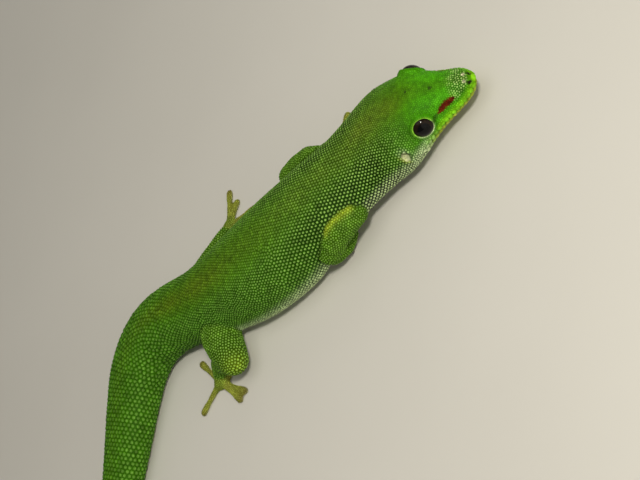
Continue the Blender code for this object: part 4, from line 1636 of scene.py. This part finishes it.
def skin_material(name, roughness):
    """Green skin with its markings, with painted shade between the scales and a painted highlight on their
    tops.
    """
    nodes = Nodes(name)
    cloud, speck, mottle = (nodes.noise(*kind) for kind in (CLOUD, SPECK, MOTTLE))
    rise, grain, bead, red = (nodes.field(field) for field in ("rise", "grain", "bead", "red"))
    colour = nodes.mix(nodes.field("emerald"), GREEN, EMERALD)
    olive = nodes.times(nodes.field("olive"), nodes.math("ADD", cloud, OLIVE_CLOUD))
    colour = nodes.mix(olive, colour, OLIVE)
    pale = nodes.times(nodes.field("pale"), nodes.line(rise, *PALE_RISE))
    colour = nodes.mix(pale, colour, PALE)
    for field, tint in (("lime", LIME), ("gold", GOLD), ("toe", TOE), ("toe_tip", TOE_TIP), ("cream", CREAM)):
        colour = nodes.mix(nodes.field(field), colour, tint)
    # Painted highlight on the scales' tops
    top = nodes.times(bead, nodes.math("POWER", rise, BEAD_HIGHLIGHT_POWER))
    colour = nodes.mix(nodes.times(top, BEAD_HIGHLIGHT_SHARE), colour, BEAD_HIGHLIGHT)
    stripe = nodes.mix(red, BROWN, nodes.mix(grain, RED, DARK_RED))
    share = nodes.times(red, nodes.math("ADD", speck, RED_SPECK))
    colour = nodes.mix(nodes.math("MINIMUM", share, 1.0), colour, stripe)
    colour = nodes.mix(nodes.field("dark"), colour, DARK)
    # Painted shade between the scales, darkest where the skin lies lowest
    low = nodes.times(nodes.math("SUBTRACT", 1.0, rise), nodes.line(bead, *GAP_SHADE_TONE))
    tone = nodes.math("SUBTRACT", TONE, low)
    for value, (gain, start) in ((grain, GRAIN_TONE), (cloud, CLOUD_TONE), (mottle, MOTTLE_TONE)):
        tone = nodes.times(tone, nodes.line(value, gain, start))
    nodes.shader.inputs["Specular IOR Level"].default_value = SKIN_SPECULAR
    inputs = {"Strength": BUMP_STRENGTH, "Distance": BUMP_DISTANCE, "Height": nodes.noise(*GRIT)}
    nodes.give(nodes.shader.inputs["Normal"], nodes.add("ShaderNodeBump", inputs).outputs[0])
    wear = nodes.line(speck, 2 * ROUGHNESS_REACH, roughness - ROUGHNESS_REACH)
    return nodes.finish(nodes.scaled(colour, tone), wear)


def eye_material():
    """A black pupil in a dark brown iris, under a wet surface."""
    nodes = Nodes("eye_wet")
    away = nodes.field("away")
    fibre = nodes.noise(*FIBRE)
    colour = nodes.mix(nodes.band(*PUPIL_EDGE, away), PUPIL, nodes.mix(fibre, *IRIS))
    colour = nodes.mix(nodes.band(*IRIS_EDGE, away), colour, IRIS_OUTER)
    nodes.shader.inputs["Specular IOR Level"].default_value = EYE_SPECULAR
    return nodes.finish(colour, nodes.line(fibre, *EYE_ROUGHNESS))


def floor_material():
    nodes = Nodes("pale_floor")
    cloud = nodes.noise(*FLOOR_CLOUD)
    return nodes.finish(nodes.mix(cloud, *FLOOR_COLOURS), nodes.line(cloud, *FLOOR_ROUGHNESS))


# Putting the pieces in the scene

def place_piece(name, mesh, material, replaced=()):
    item = new_object(name, mesh)
    mesh.materials.clear()
    mesh.materials.append(material)
    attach(item, BODY)
    if replaced:
        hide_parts(*replaced)


def add_skin(mesh, places, fields, material, flesh):
    # The bare skin lies lowest, between the scales, so it takes the full painted shade
    set_float(mesh, "rise", np.zeros(len(mesh.vertices)))
    set_float(mesh, "grain", np.full(len(mesh.vertices), 0.5))
    for field in PAINTED:
        set_float(mesh, field, fields[field])
    shade_smooth(mesh)
    points = places.points.copy()
    points[:, 2] = np.maximum(points[:, 2], 0.0)
    put_points(mesh, points * MM)
    place_piece("skin", mesh, material, flesh)


def mesh_of(bm, name):
    mesh = bpy.data.meshes.new(name)
    bm.to_mesh(mesh)
    bm.free()
    return mesh


def add_eyes(material):
    around, along = EYE_SEGMENTS
    for (word, _), (centre, axis) in zip(SIDES, EYES):
        bm = bmesh.new()
        bmesh.ops.create_uvsphere(bm, u_segments=around, v_segments=along, radius=EYE_RADIUS)
        bm.transform(Vector(axis).to_track_quat("Z", "Y").to_matrix().to_4x4())
        mesh = mesh_of(bm, "eyeball_" + word)
        points = points_of(mesh)
        radius, out = eye_reach(points, (0.0, axis))
        set_float(mesh, "away", np.where(out > 0, radius, EYE_RADIUS))
        put_points(mesh, (points + centre) * MM)
        shade_smooth(mesh)
        place_piece("eyeball_" + word, mesh, material, ("eye_" + word,))


def add_floor():
    bm = bmesh.new()
    bmesh.ops.create_grid(bm, x_segments=1, y_segments=1, size=FLOOR_SIZE)
    floor = new_object("floor", mesh_of(bm, "floor"))
    floor.data.materials.append(floor_material())


def add_light(name, place, size, power, colour):
    data = bpy.data.lights.new(name, "AREA")
    data.shape = "DISK"
    data.size = size
    data.energy = power
    data.color = colour
    light = new_object(name, data)
    light.location = place
    light.rotation_euler = (Vector(place) - Vector(LIGHT_TARGET)).to_track_quat("Z", "Y").to_euler()


def add_lights():
    ways = [Vector(way) for way in (CAMERA_RIGHT, CAMERA_UP, CAMERA_BACK)]
    for name, shift, *rest in CAMERA_LIGHTS:
        place = Vector(CAMERA_PLACE)
        for way, amount in zip(ways, shift):
            place = place + way * amount
        add_light(name, place, *rest)
    for light in ROOM_LIGHTS:
        add_light(*light)
    world = bpy.data.worlds.new("soft_room")
    world.use_nodes = True
    background = world.node_tree.nodes["Background"]
    background.inputs["Color"].default_value = ROOM_COLOUR
    background.inputs["Strength"].default_value = ROOM_STRENGTH
    bpy.context.scene.world = world
    bpy.context.scene.view_settings.view_transform = "Standard"


def add_camera():
    data = bpy.data.cameras.new("camera")
    data.lens = CAMERA_LENS
    data.sensor_width = SENSOR
    data.clip_start = NEAREST_SEEN
    camera = new_object("camera", data)
    turn = Matrix((CAMERA_RIGHT, CAMERA_UP, CAMERA_BACK)).transposed()
    camera.matrix_world = Matrix.Translation(CAMERA_PLACE) @ turn.to_4x4()
    bpy.context.scene.camera = camera


def main():
    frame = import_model()
    nodes = frame["nodes"]
    flesh = [name for name in nodes if name not in EYE_NODES]
    mesh, places = build_skin(nodes)
    fields = coat_fields(places)
    materials = {slot: skin_material(slot.replace("skin", "scales"), roughness)
                 for slot, roughness in ROUGHNESS.items()}
    scales = Scales(Coat(mesh, places, fields))
    region = region_of(scales)
    for number in range(len(REGIONS)):
        name, slot, made = build_region(scales, number, np.where(region == number)[0])
        place_piece(name, made, materials[slot])
    add_skin(mesh, places, fields, materials["body_skin"], flesh)
    add_eyes(eye_material())
    add_floor()
    add_lights()
    add_camera()


main()
